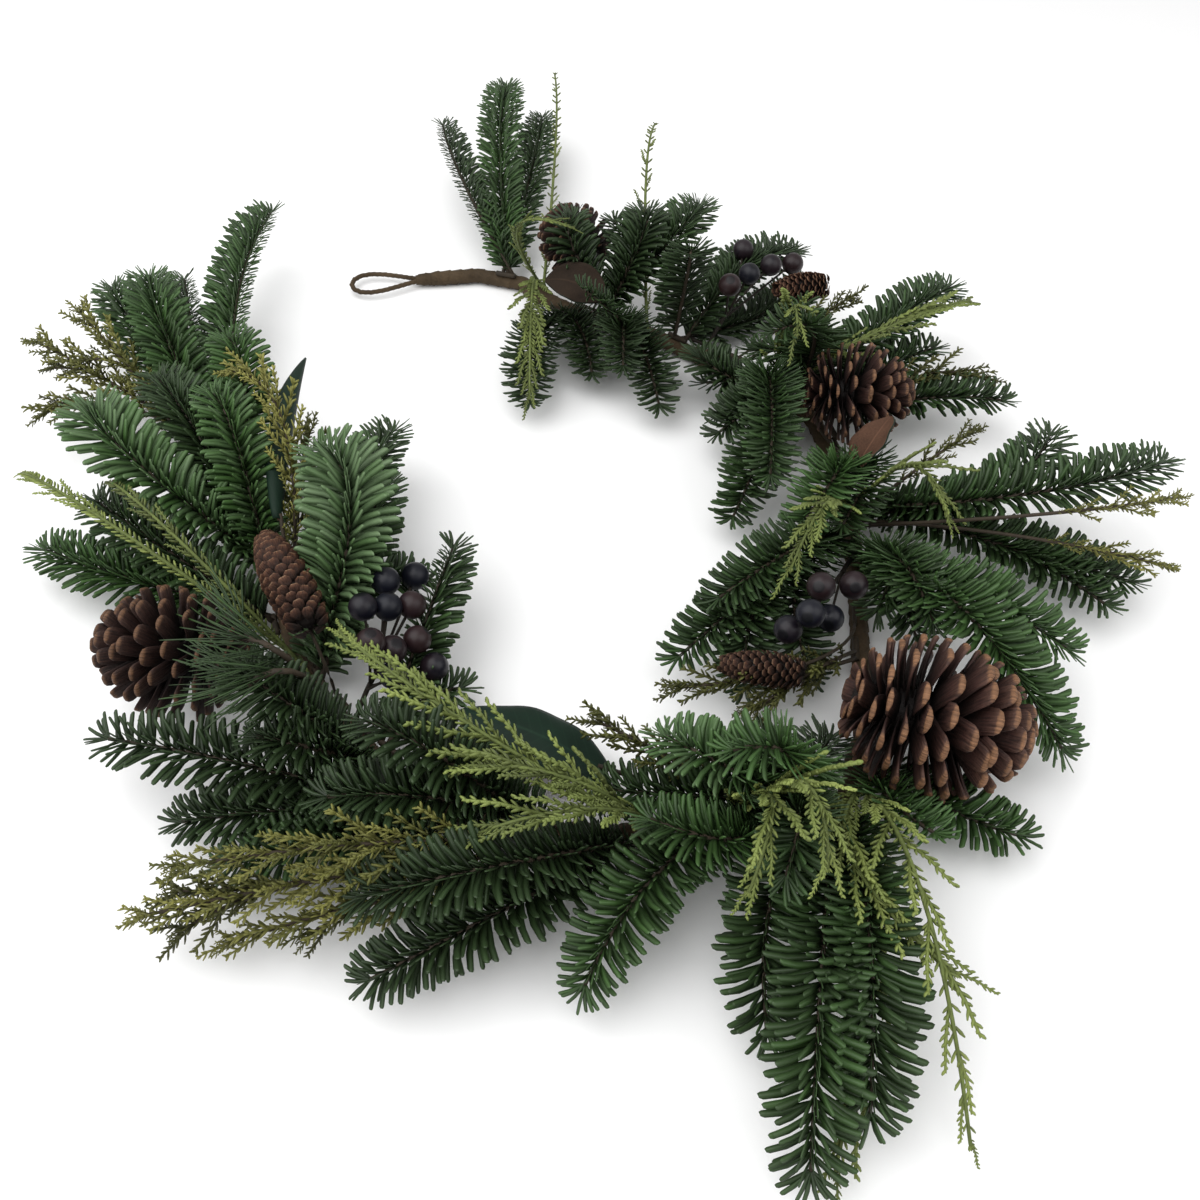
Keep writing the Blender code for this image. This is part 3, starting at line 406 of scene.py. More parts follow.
# Smaller twigs of a bough: the branch that each forks off, how far along it, and where its tip is
SHOOTS = {
    "fir_03": ((2, 0.30, (27, 197, 60)),),
    "fir_04": ((2, 0.20, (2, 94, 72)), (2, 0.35, (25, 90, 55))),
    "fir_05": ((1, 0.35, (168, 196, 32)), (3, 0.40, (62, 128, 50))),
    "fir_06": ((3, 0.25, (118, 83, 25)),),
    "fir_07": ((1, 0.30, (84, 58, 15)), (2, 0.35, (88, -6, 20))),
    "fir_10": ((3, 0.45, (303, -152, 20)),),
    "fir_11": ((3, 0.25, (193, -172, 12)), (3, 0.45, (168, -158, 20))),
    "fir_12": ((1, 0.25, (132, -200, 15)), (1, 0.45, (95, -208, 15))),
    "fir_13": ((2, 0.15, (137, -232, 20)), (1, 0.30, (104, -232, 25))),
    "fir_22": ((3, 0.30, (-70, -135, 25)),),
    "juniper_04": ((2, 0.30, (112, -212, 30)), (1, 0.40, (78, -212, 40))),
    "juniper_06": ((1, 0.55, (-180, -322, 25)), (1, 0.60, (-172, -346, 20)), (2, 0.50, (-118, -346, 15))),
    "juniper_08": ((1, 0.45, (-346, 46, 35)), (3, 0.40, (-322, 38, 45)), (2, 0.55, (-336, 18, 30))),
}

# Berries that fill a bunch: between which two stalks' berries each lies, and how far along
FILLING_BERRIES = {"berries_3": ((5, 6, 0.33), (2, 3, 0.50))}

# How far a leaf's halves curl under, in radians from its rib to its edge
LEAF_CURLS = {"magnolia_leaf_1": 0.5, "magnolia_leaf_2": 0.5, "magnolia_leaf_3": 0.6, "magnolia_leaf_4": 1.9}

# How far a neck's tape laps over the end of the core, and over what length an end is rounded off
NECK_LAP = 2.5
ROUNDED_END = 6.0

# The stage
CAMERA_PLACE = ((20 - CENTRE[0]) * MM, (-580 - CENTRE[1]) * MM, 0.5)
KEY_PLACE = (-0.7, -0.3, 1.5)
KEY_SIZE = 2.2
FILL_PLACE = (1.0, -0.5, 1.0)
FILL_SIZE = 1.2
SENSOR_WIDTH = 36.0
FLOOR_SIZE = 12.0


def of_branch(table, node, branch, usual):
    """A spray's own value from a table of branches, or the usual one."""
    values = table.get(node, ())[branch - 1:branch]
    return usual if not values or values[0] is None else values[0]


def vec(*numbers):
    return np.array(numbers, dtype=float)


def unit(vector):
    return vector / np.linalg.norm(vector)


def units(vectors):
    return vectors / np.linalg.norm(vectors, axis=-1, keepdims=True)


def smooth_line(points, step):
    """Points every step along a smooth curve through the given ones."""
    knots = np.array([2 * points[0] - points[1], *points, 2 * points[-1] - points[-2]])
    fine = []
    for before, start, end, after in zip(knots, knots[1:], knots[2:], knots[3:]):
        for t in np.linspace(0, 1, CURVE_STEPS, endpoint=False):
            fine.append(0.5 * (2 * start + (end - before) * t
                               + (2 * before - 5 * start + 4 * end - after) * t ** 2
                               + (3 * start - before - 3 * end + after) * t ** 3))
    fine.append(knots[-2])
    return Line(fine).resampled(step)


class Line:
    """A line through space that can be read at any length along it."""

    def __init__(self, points):
        self.points = np.array(points, dtype=float)
        steps = np.linalg.norm(np.diff(self.points, axis=0), axis=1)
        self.lengths = np.concatenate([[0.0], np.cumsum(steps)])
        self.length = self.lengths[-1]

    def at(self, lengths):
        """The place at one length along the line, or the places at many."""
        return np.stack([np.interp(lengths, self.lengths, axis) for axis in self.points.T], axis=-1)

    def around(self, lengths):
        """The line's places just before and just after those lengths."""
        before = np.clip(lengths - HEADING_REACH, 0.0, None)
        return self.at(before), self.at(np.clip(lengths + HEADING_REACH, None, self.length))

    def heading(self, length):
        before, after = self.around(length)
        return unit(after - before)

    def frame(self, length):
        """Heading, left and up at one length along the line."""
        ahead = self.heading(length)
        up = unit(UP - np.dot(UP, ahead) * ahead)
        return ahead, np.cross(up, ahead), up

    def read(self, lengths):
        """Places, and the same ways, at many lengths along the line."""
        before, after = self.around(lengths)
        ahead = units(after - before)
        up = units(UP - ahead * ahead[:, 2:3])
        return self.at(lengths), ahead, np.cross(up, ahead), up

    def resampled(self, step):
        return Line(self.at(np.linspace(0, self.length, max(2, round(self.length / step) + 1))))

    def shortened(self, by):
        return Line(self.at(np.linspace(0.0, self.length - by, len(self.points))))


def rod_gaps(start, end, starts, ends):
    """Least distances from one straight rod's axis to each of many others."""
    along, others, apart = end - start, ends - starts, start - starts
    own, other = along @ along, np.einsum("ij,ij->i", others, others)
    mixed, near, far = others @ along, apart @ along, np.einsum("ij,ij->i", others, apart)
    spread = own * other - mixed ** 2
    here = np.where(spread > 1e-9, (mixed * far - near * other) / np.maximum(spread, 1e-9), 0.0)
    here = np.clip(here, 0, 1)
    there = (mixed * here + far) / other
    here = np.where(there < 0, np.clip(-near / own, 0, 1), here)
    here = np.where(there > 1, np.clip((mixed - near) / own, 0, 1), here)
    there = np.clip(there, 0, 1)
    return np.linalg.norm(apart + np.outer(here, along) - others * there[:, None], axis=1)


class Room:
    """The space already taken, as straight rods of known radius, each in one branch of one piece."""

    def __init__(self, size=9000):
        self.starts, self.ends = np.zeros((size, 3)), np.ones((size, 3))
        self.radii, self.branches = np.zeros(size), np.zeros(size, dtype=int)
        self.pieces = np.zeros(size, dtype=int)
        self.count, self.names = 0, []

    def take(self, piece, start, end, radius, branch=0):
        if piece not in self.names:
            self.names.append(piece)
        row = self.count
        self.starts[row], self.ends[row], self.radii[row] = start, end, radius
        self.pieces[row], self.branches[row] = self.names.index(piece), branch
        self.count += 1

    def take_line(self, piece, line, thick, thin, branch=0):
        for row in range(len(line.points) - 1):
            share = line.lengths[row] / line.length
            self.take(piece, line.points[row], line.points[row + 1], thick + (thin - thick) * share, branch)

    def gap(self, piece, start, end, radius, branch=None):
        """The clear space from a new rod to the nearest of other pieces and, given its branch, of others."""
        number = self.names.index(piece) if piece in self.names else -1
        others = self.pieces[:self.count] != number
        if branch is not None:
            others |= self.branches[:self.count] != branch
        gaps = rod_gaps(start, end, self.starts[:self.count][others], self.ends[:self.count][others])
        return float((gaps - self.radii[:self.count][others]).min()) - radius


def core_radius(along):
    """The core's radius, swollen where the binding is knotted and rests on the floor."""
    off = min(abs(along - place) for place in KNOT_PLACES)
    share = (KNOT_LENGTH / 2 - off) / (KNOT_LENGTH / 2 - KNOT_FLAT / 2)
    return CORE_RADIUS + KNOT_SWELL * min(1.0, max(0.0, share))


def lay_core(room):
    """The core's line, with its room taken piece by piece, swollen knots included."""
    core = smooth_line([vec(x, y, CORE_HEIGHT) for x, y in CORE_ROUTE], CORE_STEP)
    for length in np.arange(0, core.length, CORE_ROOM_STEP):
        ahead = min(length + CORE_ROOM_STEP, core.length)
        room.take("main_stem", core.at(length), core.at(ahead), max(core_radius(length), core_radius(ahead)))
    return core


def bound_place(core, along, side, radius):
    """A point beside the core, on the given side of it, where a twig of that radius is bound."""
    _, left, up = core.frame(along)
    turn = math.radians(side)
    out = -left * math.cos(turn) + up * math.sin(turn)
    widest = max(core_radius(along - back) for back in range(0, round(HEEL_LENGTH) + 1, 3))
    return core.at(along) + out * (widest + GAP + radius)


def lay_loop(name, core, at_start, room):
    """The lines of a hanging loop: its neck, and the teardrop of wire that leaves it and comes back."""
    end = core.at(0.0 if at_start else core.length)
    ahead = -core.heading(0.0) if at_start else core.heading(core.length)
    left = np.cross(UP, ahead)
    inner = end + ahead * GAP
    neck = Line([inner, inner + ahead * NECK_LENGTH])
    start = neck.points[1] - ahead * LEG_LENGTH
    points = []
    for turn in np.linspace(LOOP_FIRST_TURN, math.tau - LOOP_FIRST_TURN, LOOP_STEPS + 1):
        rounding = math.sin(turn / 2) ** 2
        aside = LOOP_WIDTH / 2 * math.sin(turn) * rounding / LOOP_FULLEST
        points.append(start + ahead * LOOP_LENGTH * rounding + left * aside)
    wire = Line(points)
    room.take_line(name, neck, NECK_RADIUS, NECK_RADIUS)
    room.take_line(name, wire, LOOP_WIRE, LOOP_WIRE)
    return neck, wire


def lay_heel(name, core, along, side, radius, room):
    """The bound end of a twig or a wire, lying along the core, and the point where it leaves."""
    off = bound_place(core, along, side, radius) - core.at(along)
    for _ in range(HEEL_TRIES):
        start, end = core.at(along - HEEL_LENGTH) + off, core.at(along) + off
        heel = Line([start, end + unit(end - start) * radius * HEEL_OVERLAP])
        if room.gap(name, *heel.points, radius) >= HEEL_GAP:
            break
        off *= HEEL_PUSH
    else:
        raise ValueError(f"{name} has no room beside the core")
    room.take_line(name, heel, radius, radius)
    return heel, end


def bent_line(start, middle, end, step):
    """A smooth bow from start to end that passes through the middle point."""
    pull = 2 * middle - (start + end) / 2
    share = np.linspace(0, 1, BOW_POINTS)[:, None]
    return Line((1 - share) ** 2 * start + 2 * share * (1 - share) * pull + share ** 2 * end).resampled(step)


def line_gap(name, line, radius, room, branch):
    """The least clear space along a spray, which may touch its bough's other branches near the fork."""
    fork = int(np.searchsorted(line.lengths, FORK_LENGTH))
    rods = list(zip(line.points, line.points[1:]))
    others = [room.gap(name, start, end, radius) for start, end in rods[1:]]
    own = [room.gap(name, start, end, radius, branch) for start, end in rods[fork:]]
    return min(others + own)


def lay_spray(name, root, spray, radius, room, branch):
    """The line of a spray, bent as little as it takes to keep clear of the pieces placed before it."""
    tip, aside, rise = vec(*spray[0]), spray[1], spray[2]
    flat = unit((tip - root) * vec(1, 1, 0))
    middle = (root + tip) / 2 + aside * np.cross(UP, flat) + rise * UP
    bends = [0, *(sign * size for size in range(BEND_STEP, MOST_BEND + 1, BEND_STEP) for sign in (1, -1))]
    best, best_gap = None, -math.inf
    for bend in bends:
        shift = unit(vec(*BEND_WAY)) * bend
        line = bent_line(root, middle + shift, tip + shift / 2, SPRAY_STEP)
        line = Line(np.maximum(line.points, vec(-math.inf, -math.inf, LOWEST_TWIG)))
        gap = line_gap(name, line, radius, room, branch)
        if gap > best_gap:
            best, best_gap = line, gap
        if gap >= 2 * GAP:
            break
    if best_gap < GAP:
        raise ValueError(f"{name} branch {branch} has no room")
    return best


def lay_bough(name, bough, core, room):
    """The lines of a bough: its heel, and each of its sprays, which leave the heel one by one."""
    foliage = PLANTS[bough.plant]
    heel, root = lay_heel(name, core, bough.along, bough.side, HEEL_RADIUS, room)
    lines = []
    for branch, spray in enumerate(bough.sprays, start=1):
        start = root - heel.heading(0.0) * FORK_STEP * min(branch - 1, FORK_BRANCHES)
        line = lay_spray(name, start, spray, foliage.thick, room, branch)
        room.take_line(name, line, foliage.thick, foliage.thin, branch)
        lines.append(line)
    return heel, lines


def lay_cone(name, cone, core, room):
    """The lines of a cone's wire: its bound end, and the bow that runs into the cone's base."""
    base, apex = vec(*cone.base), vec(*cone.apex)
    tall = apex - base
    heel, root = lay_heel(name, core, cone.along, cone.side, WIRE_HEEL_RADIUS, room)
    wire = bent_line(root, (root + base) / 2 - unit(tall) * STEM_LIFT, base + tall * WIRE_DEPTH, 9.0)
    room.take_line(name, wire, WIRE_RADIUS, WIRE_RADIUS)
    for low, high, share in CONE_ROOM:
        room.take(name, base + tall * low, base + tall * high, cone.width / 2 * share)
    return heel, wire


def lay_bunch(name, bunch, core, room):
    """The lines of a bunch: its bound end, its stem, and one stalk to the far side of each berry."""
    heel, root = lay_heel(name, core, bunch.along, bunch.side, BUNCH_HEEL_RADIUS, room)
    places = np.array(bunch.places, dtype=float)
    fork = root * 0.45 + places.mean(axis=0) * 0.55
    stem = bent_line(root, (root + fork) / 2 + UP * STEM_LIFT, fork, 10.0)
    room.take_line(name, stem, BUNCH_STEM_RADIUS, BUNCH_STEM_RADIUS)
    stalks = []
    for number, place in enumerate(places):
        start = stem.at(stem.length * (1.0 - 0.5 * number / len(places)))
        way = unit(place - start)
        stalks.append(Line([start, place + way * BERRY_DIAMETER / 2]))
        room.take(name, place - way * 2, place + way * 2, BERRY_DIAMETER / 2 - 0.5)
        room.take(name, start, place, STALK_RADIUS)
    return heel, stem, stalks


def leaf_half_width(share, width):
    """A leaf's half width along its rib: narrow at its stalk, widest past the middle, and pointed."""
    return width / 2 * math.sin(math.pi * min(1.0, share * 0.97 + 0.03) ** 0.85) ** 0.8


def leaf_rows(leaf, rib):
    """Left edge, rib and right edge of a leaf, row by row from its base to its tip."""
    turn = math.radians(leaf.turn)
    rows = []
    for share in np.linspace(0.02, 0.98, LEAF_STEPS + 1):
        ahead, left, up = rib.frame(share * rib.length)
        across = left * math.cos(turn) + up * math.sin(turn)
        under = -np.cross(ahead, across) * LEAF_FOLD
        middle, half = rib.at(share * rib.length), leaf_half_width(share, leaf.width)
        rows.append(np.array([middle + (across + under) * half, middle, middle + (under - across) * half]))
    return rows


def lay_leaf(name, leaf, core, room):
    """The lines of a leaf: its bound end, its stalk and its rib."""
    base, tip = vec(*leaf.base), vec(*leaf.tip)
    heel, root = lay_heel(name, core, leaf.along, leaf.side, LEAF_HEEL_RADIUS, room)
    rib = bent_line(base, (base + tip) / 2 + UP * leaf.arch, tip, 4.0)
    stalk = bent_line(root, (root + base) / 2 + UP * STEM_LIFT, rib.at(6.0), 10.0)
    room.take_line(name, stalk, LEAF_STALK_RADIUS, LEAF_STALK_RADIUS)
    rows = leaf_rows(leaf, rib)
    for low, high in zip(rows, rows[1:]):
        count = math.ceil(np.linalg.norm(high - low, axis=1).max() / LEAF_ROOM_STEP)
        for share in np.linspace(0, 1, count + 1):
            left_edge, middle, right_edge = low + (high - low) * share
            room.take(name, left_edge, middle, LEAF_ROOM)
            room.take(name, middle, right_edge, LEAF_ROOM)
    return heel, stalk, rib


@lru_cache
def lay_garland():
    """The lines of every piece, laid in the same order as in the part's source."""
    room = Room()
    core = lay_core(room)
    laid = {"main_stem": core}
    for name, at_start in (("hanging_loop_1", True), ("hanging_loop_2", False)):
        laid[name] = lay_loop(name, core, at_start, room)
    for name, cone in CONES.items():
        laid[name] = lay_cone(name, cone, core, room)
    for name, bunch in BUNCHES.items():
        laid[name] = lay_bunch(name, bunch, core, room)
    for name, leaf in LEAVES.items():
        laid[name] = lay_leaf(name, leaf, core, room)
    for name, bough in BOUGHS.items():
        laid[name] = lay_bough(name, bough, core, room)
    return laid


# Looks: shapes are modelled once, read as arrays, and copied along the twigs


def select(*objects):
    """Select only these objects, and make the first of them active."""
    bpy.ops.object.select_all(action="DESELECT")
    for obj in objects:
        obj.select_set(True)
        bpy.context.view_layer.objects.active = objects[0]


class Shape:
    """The points and faces of a modelled shape, one unit long along +Y; its object is used up."""

    def __init__(self, obj):
        mesh = obj.data
        self.points = np.empty(len(mesh.vertices) * 3)
        mesh.vertices.foreach_get("co", self.points)
        self.points = self.points.reshape(-1, 3)
        self.corners = np.empty(len(mesh.loops), dtype=int)
        mesh.loops.foreach_get("vertex_index", self.corners)
        self.sizes = np.empty(len(mesh.polygons), dtype=int)
        mesh.polygons.foreach_get("loop_total", self.sizes)
        starts = np.concatenate([[0], np.cumsum(self.sizes)])
        self.mirrored = np.concatenate([self.corners[a:b][::-1] for a, b in zip(starts, starts[1:])])
        self.along = np.clip(self.points[:, 1], 0, 1)
        widest = max(np.abs(self.points[:, 0]).max(), 1e-9)
        self.across = self.points[:, 0] / widest
        bpy.data.objects.remove(obj)


class Copies:
    """Copies of shapes gathered into one mesh, each with its own place, size, tone and finish."""

    def __init__(self):
        self.points, self.corners, self.sizes, self.slots, self.tones = [], [], [], [], []
        self.count = 0

    def gather(self, shape, points, mirrored, tones, slot):
        copies, each = points.shape[0], points.shape[1]
        corners = np.where(mirrored[:, None], shape.mirrored[None], shape.corners[None])
        offsets = self.count + each * np.arange(copies)
        self.points.append(points.reshape(-1, 3))
        self.corners.append((corners + offsets[:, None]).ravel())
        self.sizes.append(np.tile(shape.sizes, copies))
        self.slots.append(np.full(len(shape.sizes) * copies, slot))
        tone = np.empty((copies, each, 4))
        tone[..., 0] = shape.along
        tone[..., 1:3] = np.reshape(tones, (-1, 1, 2))
        tone[..., 3] = shape.across * 0.5 + 0.5
        self.tones.append(tone.reshape(-1, 4))
        self.count += copies * each

    def add(self, shape, places, axes, scales, tones, slot=0):
        """Add a copy at each place; axes holds, for each, the ways that its own X, Y and Z point."""
        sized = shape.points[None] * np.reshape(scales, (-1, 1, 1))
        points = np.einsum("knj,kji->kni", sized, axes) + places[:, None]
        self.gather(shape, points, np.linalg.det(axes) < 0, tones, slot)

    def add_along(self, shape, line, radius, tones=(0.5, 0.5), slot=0, relief=None):
        """Add one copy of a rod bent along a line; relief says how far its skin stands out there."""
        lengths = shape.along * line.length
        places, ahead, left, up = line.read(lengths)
        turns = np.arctan2(shape.points[:, 0], shape.points[:, 2])
        off = np.hypot(shape.points[:, 0], shape.points[:, 2])
        reach = np.array([radius(length) for length in lengths])
        if relief is not None:
            reach = reach + relief(lengths, turns)
        reach = (reach * off)[:, None]
        points = places + left * np.sin(turns)[:, None] * reach + up * np.cos(turns)[:, None] * reach
        self.gather(shape, points[None], np.array([False]), tones, slot)

    def add_rod(self, shape, line, thick, thin=None, slot=1):
        """Add a plain rod along a line, which may taper to a thin end."""
        taper = 0.0 if thin is None else thin - thick
        self.add_along(shape, line, lambda length: thick + taper * length / line.length, slot=slot)

    def make(self, name, *kinds):
        """One mesh of all the copies, in finishes of these kinds, one for each slot."""
        points = (np.concatenate(self.points) - vec(*CENTRE, 0)) * MM
        points[:, 2] = np.maximum(points[:, 2], LOWEST_POINT * MM)
        corners, sizes = np.concatenate(self.corners), np.concatenate(self.sizes)
        mesh = bpy.data.meshes.new(name)
        mesh.vertices.add(len(points))
        mesh.vertices.foreach_set("co", points.ravel())
        mesh.loops.add(len(corners))
        mesh.loops.foreach_set("vertex_index", corners)
        mesh.polygons.add(len(sizes))
        mesh.polygons.foreach_set("loop_start", np.concatenate([[0], np.cumsum(sizes)[:-1]]))
        for kind in kinds:
            mesh.materials.append(finish(kind))
        mesh.polygons.foreach_set("material_index", np.concatenate(self.slots))
        mesh.update(calc_edges=True)
        mesh.polygons.foreach_set("use_smooth", np.ones(len(sizes), dtype=bool))
        tone = mesh.attributes.new(TONE, "FLOAT_COLOR", "POINT")
        tone.data.foreach_set("color", np.concatenate(self.tones).ravel())
        obj = bpy.data.objects.new(name, mesh)
        bpy.context.scene.collection.objects.link(obj)
        return obj


def stand_for(piece, node):
    """Let a finished piece stand for its CAD node, on the garland's only body."""
    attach(piece, BODY)
    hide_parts(node)


def finish_shape(obj):
    """Apply the object's own place and let its faces point outwards."""
    select(obj)
    bpy.ops.object.transform_apply()
    bpy.ops.object.mode_set(mode="EDIT")
    bpy.ops.mesh.select_all(action="SELECT")
    bpy.ops.mesh.normals_make_consistent(inside=False)
    bpy.ops.object.mode_set(mode="OBJECT")
    return obj


def join(parts):
    select(*parts)
    bpy.ops.object.join()
    return bpy.context.object


def extruded(sides, turn, rings):
    """A closed shape grown along +Y from a small polygon: each ring gives y, width and height."""
    select()
    first, width, height = rings[0]
    bpy.ops.mesh.primitive_circle_add(vertices=sides, radius=0.5, fill_type="NGON",
                                      location=(0, first, 0), rotation=(math.pi / 2, turn, 0))
    obj = bpy.context.object
    bpy.ops.object.transform_apply()
    bpy.ops.object.mode_set(mode="EDIT")
    bpy.ops.mesh.select_all(action="SELECT")
    bpy.ops.transform.resize(value=(width, 1, height), center_override=(0, first, 0))
    for y, wide, high in rings[1:]:
        bpy.ops.mesh.extrude_region_move(TRANSFORM_OT_translate={"value": (0, y - first, 0)})
        bpy.ops.transform.resize(value=(wide / width, 1, high / height), center_override=(0, y, 0))
        first, width, height = y, wide, high
    bpy.ops.object.mode_set(mode="OBJECT")
    return finish_shape(obj)


def curve_points(obj, sideways, upwards):
    """Bow a shape that lies along +Y: its far end moves sideways and upwards by those shares."""
    for vert in obj.data.vertices:
        share = max(0.0, vert.co.y)
        vert.co.x += sideways * share ** 2
        vert.co.z += upwards * share ** 2
        vert.co.y *= 1.0 - 0.5 * (sideways ** 2 + upwards ** 2) * share ** 2
    return obj


def model_needle(outline, width, sideways, upwards):
    """A needle of one unit's length: its outline, its width, and how far it bows sideways and up."""
    sides, turn, thick, rings = outline
    obj = extruded(sides, turn, [(y, wide * width, high * width * thick) for y, wide, high in rings])
    return Shape(curve_points(obj, sideways, upwards))


def model_scale(rings, rise, cup):
    """A cone's scale of one unit's length, whose end turns up and whose sides turn down."""
    obj = extruded(8, math.pi / 8, rings)
    for vert in obj.data.vertices:
        vert.co.z += rise * vert.co.y ** 2 - cup * vert.co.x ** 2
    return Shape(obj)


def model_rod(sides, *passes):
    """A round rod along +Y, of radius 1; each pass divides its length again, so that it bends smoothly."""
    select()
    bpy.ops.mesh.primitive_cylinder_add(vertices=sides, radius=1.0, depth=1.0,
                                        location=(0, 0.5, 0), rotation=(-math.pi / 2, 0, 0))
    obj = bpy.context.object
    bpy.ops.object.transform_apply()
    bpy.ops.object.mode_set(mode="EDIT")
    bpy.ops.mesh.select_mode(type="EDGE")
    for rings in passes:
        bpy.ops.mesh.select_all(action="DESELECT")
        bpy.ops.object.mode_set(mode="OBJECT")
        for edge in obj.data.edges:
            low, high = (obj.data.vertices[k].co.y for k in edge.vertices)
            edge.select = abs(high - low) > LEAST_EDGE
        bpy.ops.object.mode_set(mode="EDIT")
        bpy.ops.mesh.subdivide(number_cuts=rings - 1)
    bpy.ops.object.mode_set(mode="OBJECT")
    return Shape(finish_shape(obj))


def spur_rings(thick, long, widest, high):
    """The rings of a blunt spur: its width at the root, at its fullest and at its end."""
    return ((0.0, thick * 0.8, thick * 0.7), (long * 0.6, thick * widest, thick * high[0]),
            (long, thick * 0.5, thick * high[1]))


def model_spur(thick):
    """One blunt spur of scale leaves along +Y, one unit long."""
    return Shape(extruded(3, 0, spur_rings(thick, 1.0, 1.2, (1.0, 0.4))))


def model_branchlet(count, longest, thick, turn, flat):
    """A branchlet along +Y: a rib with blunt spurs, left and right in turn if flat, or else all round it."""
    rib = ((0.0, thick * 0.9, thick * 0.8), (0.55, thick, thick * 0.8), (0.97, thick * 0.7, thick * 0.6))
    parts = [extruded(4, 0, rib)]
    for number in range(count):
        share = 0.07 + 0.86 * number / (count - 1)
        long = longest * (0.75 + 0.25 * math.sin(number * 2.3)) * (1.0 - 0.45 * share ** 2)
        spur = extruded(3, 0, spur_rings(thick, long, 1.15, (0.9, 0.45)))
        around = math.pi / 2 * (1 if number % 2 else -1) if flat else number * GOLDEN_TURN
        lean = Matrix.Rotation(around, 4, "Y") @ Matrix.Rotation(turn, 4, "X")
        spur.matrix_world = Matrix.Translation((0, share, 0)) @ lean
        parts.append(finish_shape(spur))
    return Shape(curve_points(join(parts), 0.12, -0.08))


def spray_draw(node, branch):
    """The random numbers of one spray, the same in every run."""
    number = sum(ord(letter) * (place + 7) for place, letter in enumerate(node))
    return np.random.default_rng(SEED + 1000 * branch + number)


def chances(draw, count, shade):
    """Tones of many copies: a chance for each, and the one shade of their spray."""
    return np.stack([draw.uniform(0, 1, count), np.full(count, shade)], axis=1)


def lifted(left, up, side, degrees):
    """Ways outward and upward for shapes on one side of a twig that are lifted by so many degrees."""
    lift = np.radians(degrees)[:, None]
    level, rise = np.cos(lift), np.sin(lift)
    return left * side * level + up * rise, up * level - left * side * rise


def square_to(ways, ahead):
    """Those ways, turned square to the ways ahead."""
    return units(ways - ahead * np.sum(ways * ahead, axis=1, keepdims=True))


def needle_axes(forward, outward, upward, spread, side=1.0):
    """Ways of a needle's own X, Y and Z: Y runs along it, and X is the edge nearer the twig's tip."""
    turn = np.radians(spread)[:, None]
    along = forward * np.cos(turn) + outward * np.sin(turn)
    normal = square_to(upward, along)
    return np.stack([np.cross(along, normal) * side, along, normal], axis=1)


def dress_row(copies, shape, line, row, length, shade, draw):
    """One row of needles: its side, rise, spacing, share of full length and spread, and where it starts."""
    side, rise, spacing, share_of_length, spread, start = row
    count = max(2, int((line.length - start) / spacing))
    shifts = draw.uniform(-ROW_SHIFT, ROW_SHIFT, count)
    lengths = start + (line.length - start - 0.5) * (np.arange(count) + shifts) / count
    lengths = np.clip(lengths, start * 0.8, line.length - 0.2)
    share = lengths / line.length
    places, ahead, left, up = line.read(lengths)
    outward, upward = lifted(left, up, side, rise + draw.normal(0, 5.0, count))
    turn = spread * (1.0 - 0.15 * share ** 5) + draw.normal(0, 4.0, count)
    axes = needle_axes(ahead, outward, upward, turn, side)
    taper = 0.62 + 0.38 * np.clip((line.length - lengths) / END_TAPER, 0, 1) ** 0.7
    taper = taper * (0.75 + 0.25 * np.clip((lengths - start) / START_TAPER, 0, 1))
    scales = length * share_of_length * taper * draw.normal(1.0, 0.05, count).clip(0.85, 1.12)
    copies.add(shape, places + outward * NEEDLE_FOOT, axes, scales, chances(draw, count, shade))


def dress_tip(copies, shape, line, length, shade, draw, widest=52.0, count=8):
    """The last needles of a twig, fanned out round its tip so that it ends bluntly."""
    place, ahead, left, up = (part[0] for part in line.read(np.array([line.length - 0.5])))
    fan = np.linspace(-widest, widest, count) + draw.normal(0, 3, count)
    side = np.sign(fan)[:, None]
    outward, upward = lifted(left, up, side, draw.uniform(4, 36, count))
    axes = needle_axes(np.tile(ahead, (count, 1)), outward, upward, np.abs(fan), side)
    scales = length * draw.uniform(*TIP_LENGTHS, count)
    copies.add(shape, np.tile(place, (count, 1)), axes, scales, chances(draw, count, shade))


def dress_round(copies, shape, line, start, spacing, size, spread, shade, draw, flatness=0.65):
    """Shapes standing off all round a twig, each a golden turn on from the one before."""
    count = max(2, int((line.length - start) / spacing))
    lengths = start + (line.length - start - 1.0) * np.arange(count) / (count - 1)
    share = lengths / line.length
    places, ahead, left, up = line.read(lengths)
    around = np.arange(count) * GOLDEN_TURN + draw.uniform(0, 6)
    outward = left * np.cos(around)[:, None] + up * (flatness * np.sin(around) + 0.12)[:, None]
    outward = square_to(outward, ahead)
    turn = spread * (1.0 - 0.4 * share ** 2) + draw.normal(0, 6, count)
    axes = needle_axes(ahead, outward, np.cross(ahead, outward), turn)
    rise = 0.55 + 0.45 * np.clip((lengths - start) / 30.0, 0, 1)
    scales = size * rise * (1.0 - 0.35 * share ** 3) * draw.normal(1, 0.12, count).clip(0.7, 1.25)
    copies.add(shape, places, axes, scales, chances(draw, count, shade))


def with_shoots(node, lines):
    """A bough's lines and the smaller twigs that fork off them, each bent from its parent's way."""
    shoots = []
    for branch, share, tip in SHOOTS.get(node, ()):
        parent, end = lines[branch - 1], vec(*tip)
        start = parent.at(parent.length * share)
        bend = start + parent.heading(parent.length * share) * float(np.linalg.norm(end - start)) * SHOOT_PULL
        steps = np.linspace(0, 1, 8)[:, None]
        shoots.append(Line((1 - steps) ** 2 * start + 2 * steps * (1 - steps) * bend + steps ** 2 * end))
    return list(lines) + shoots


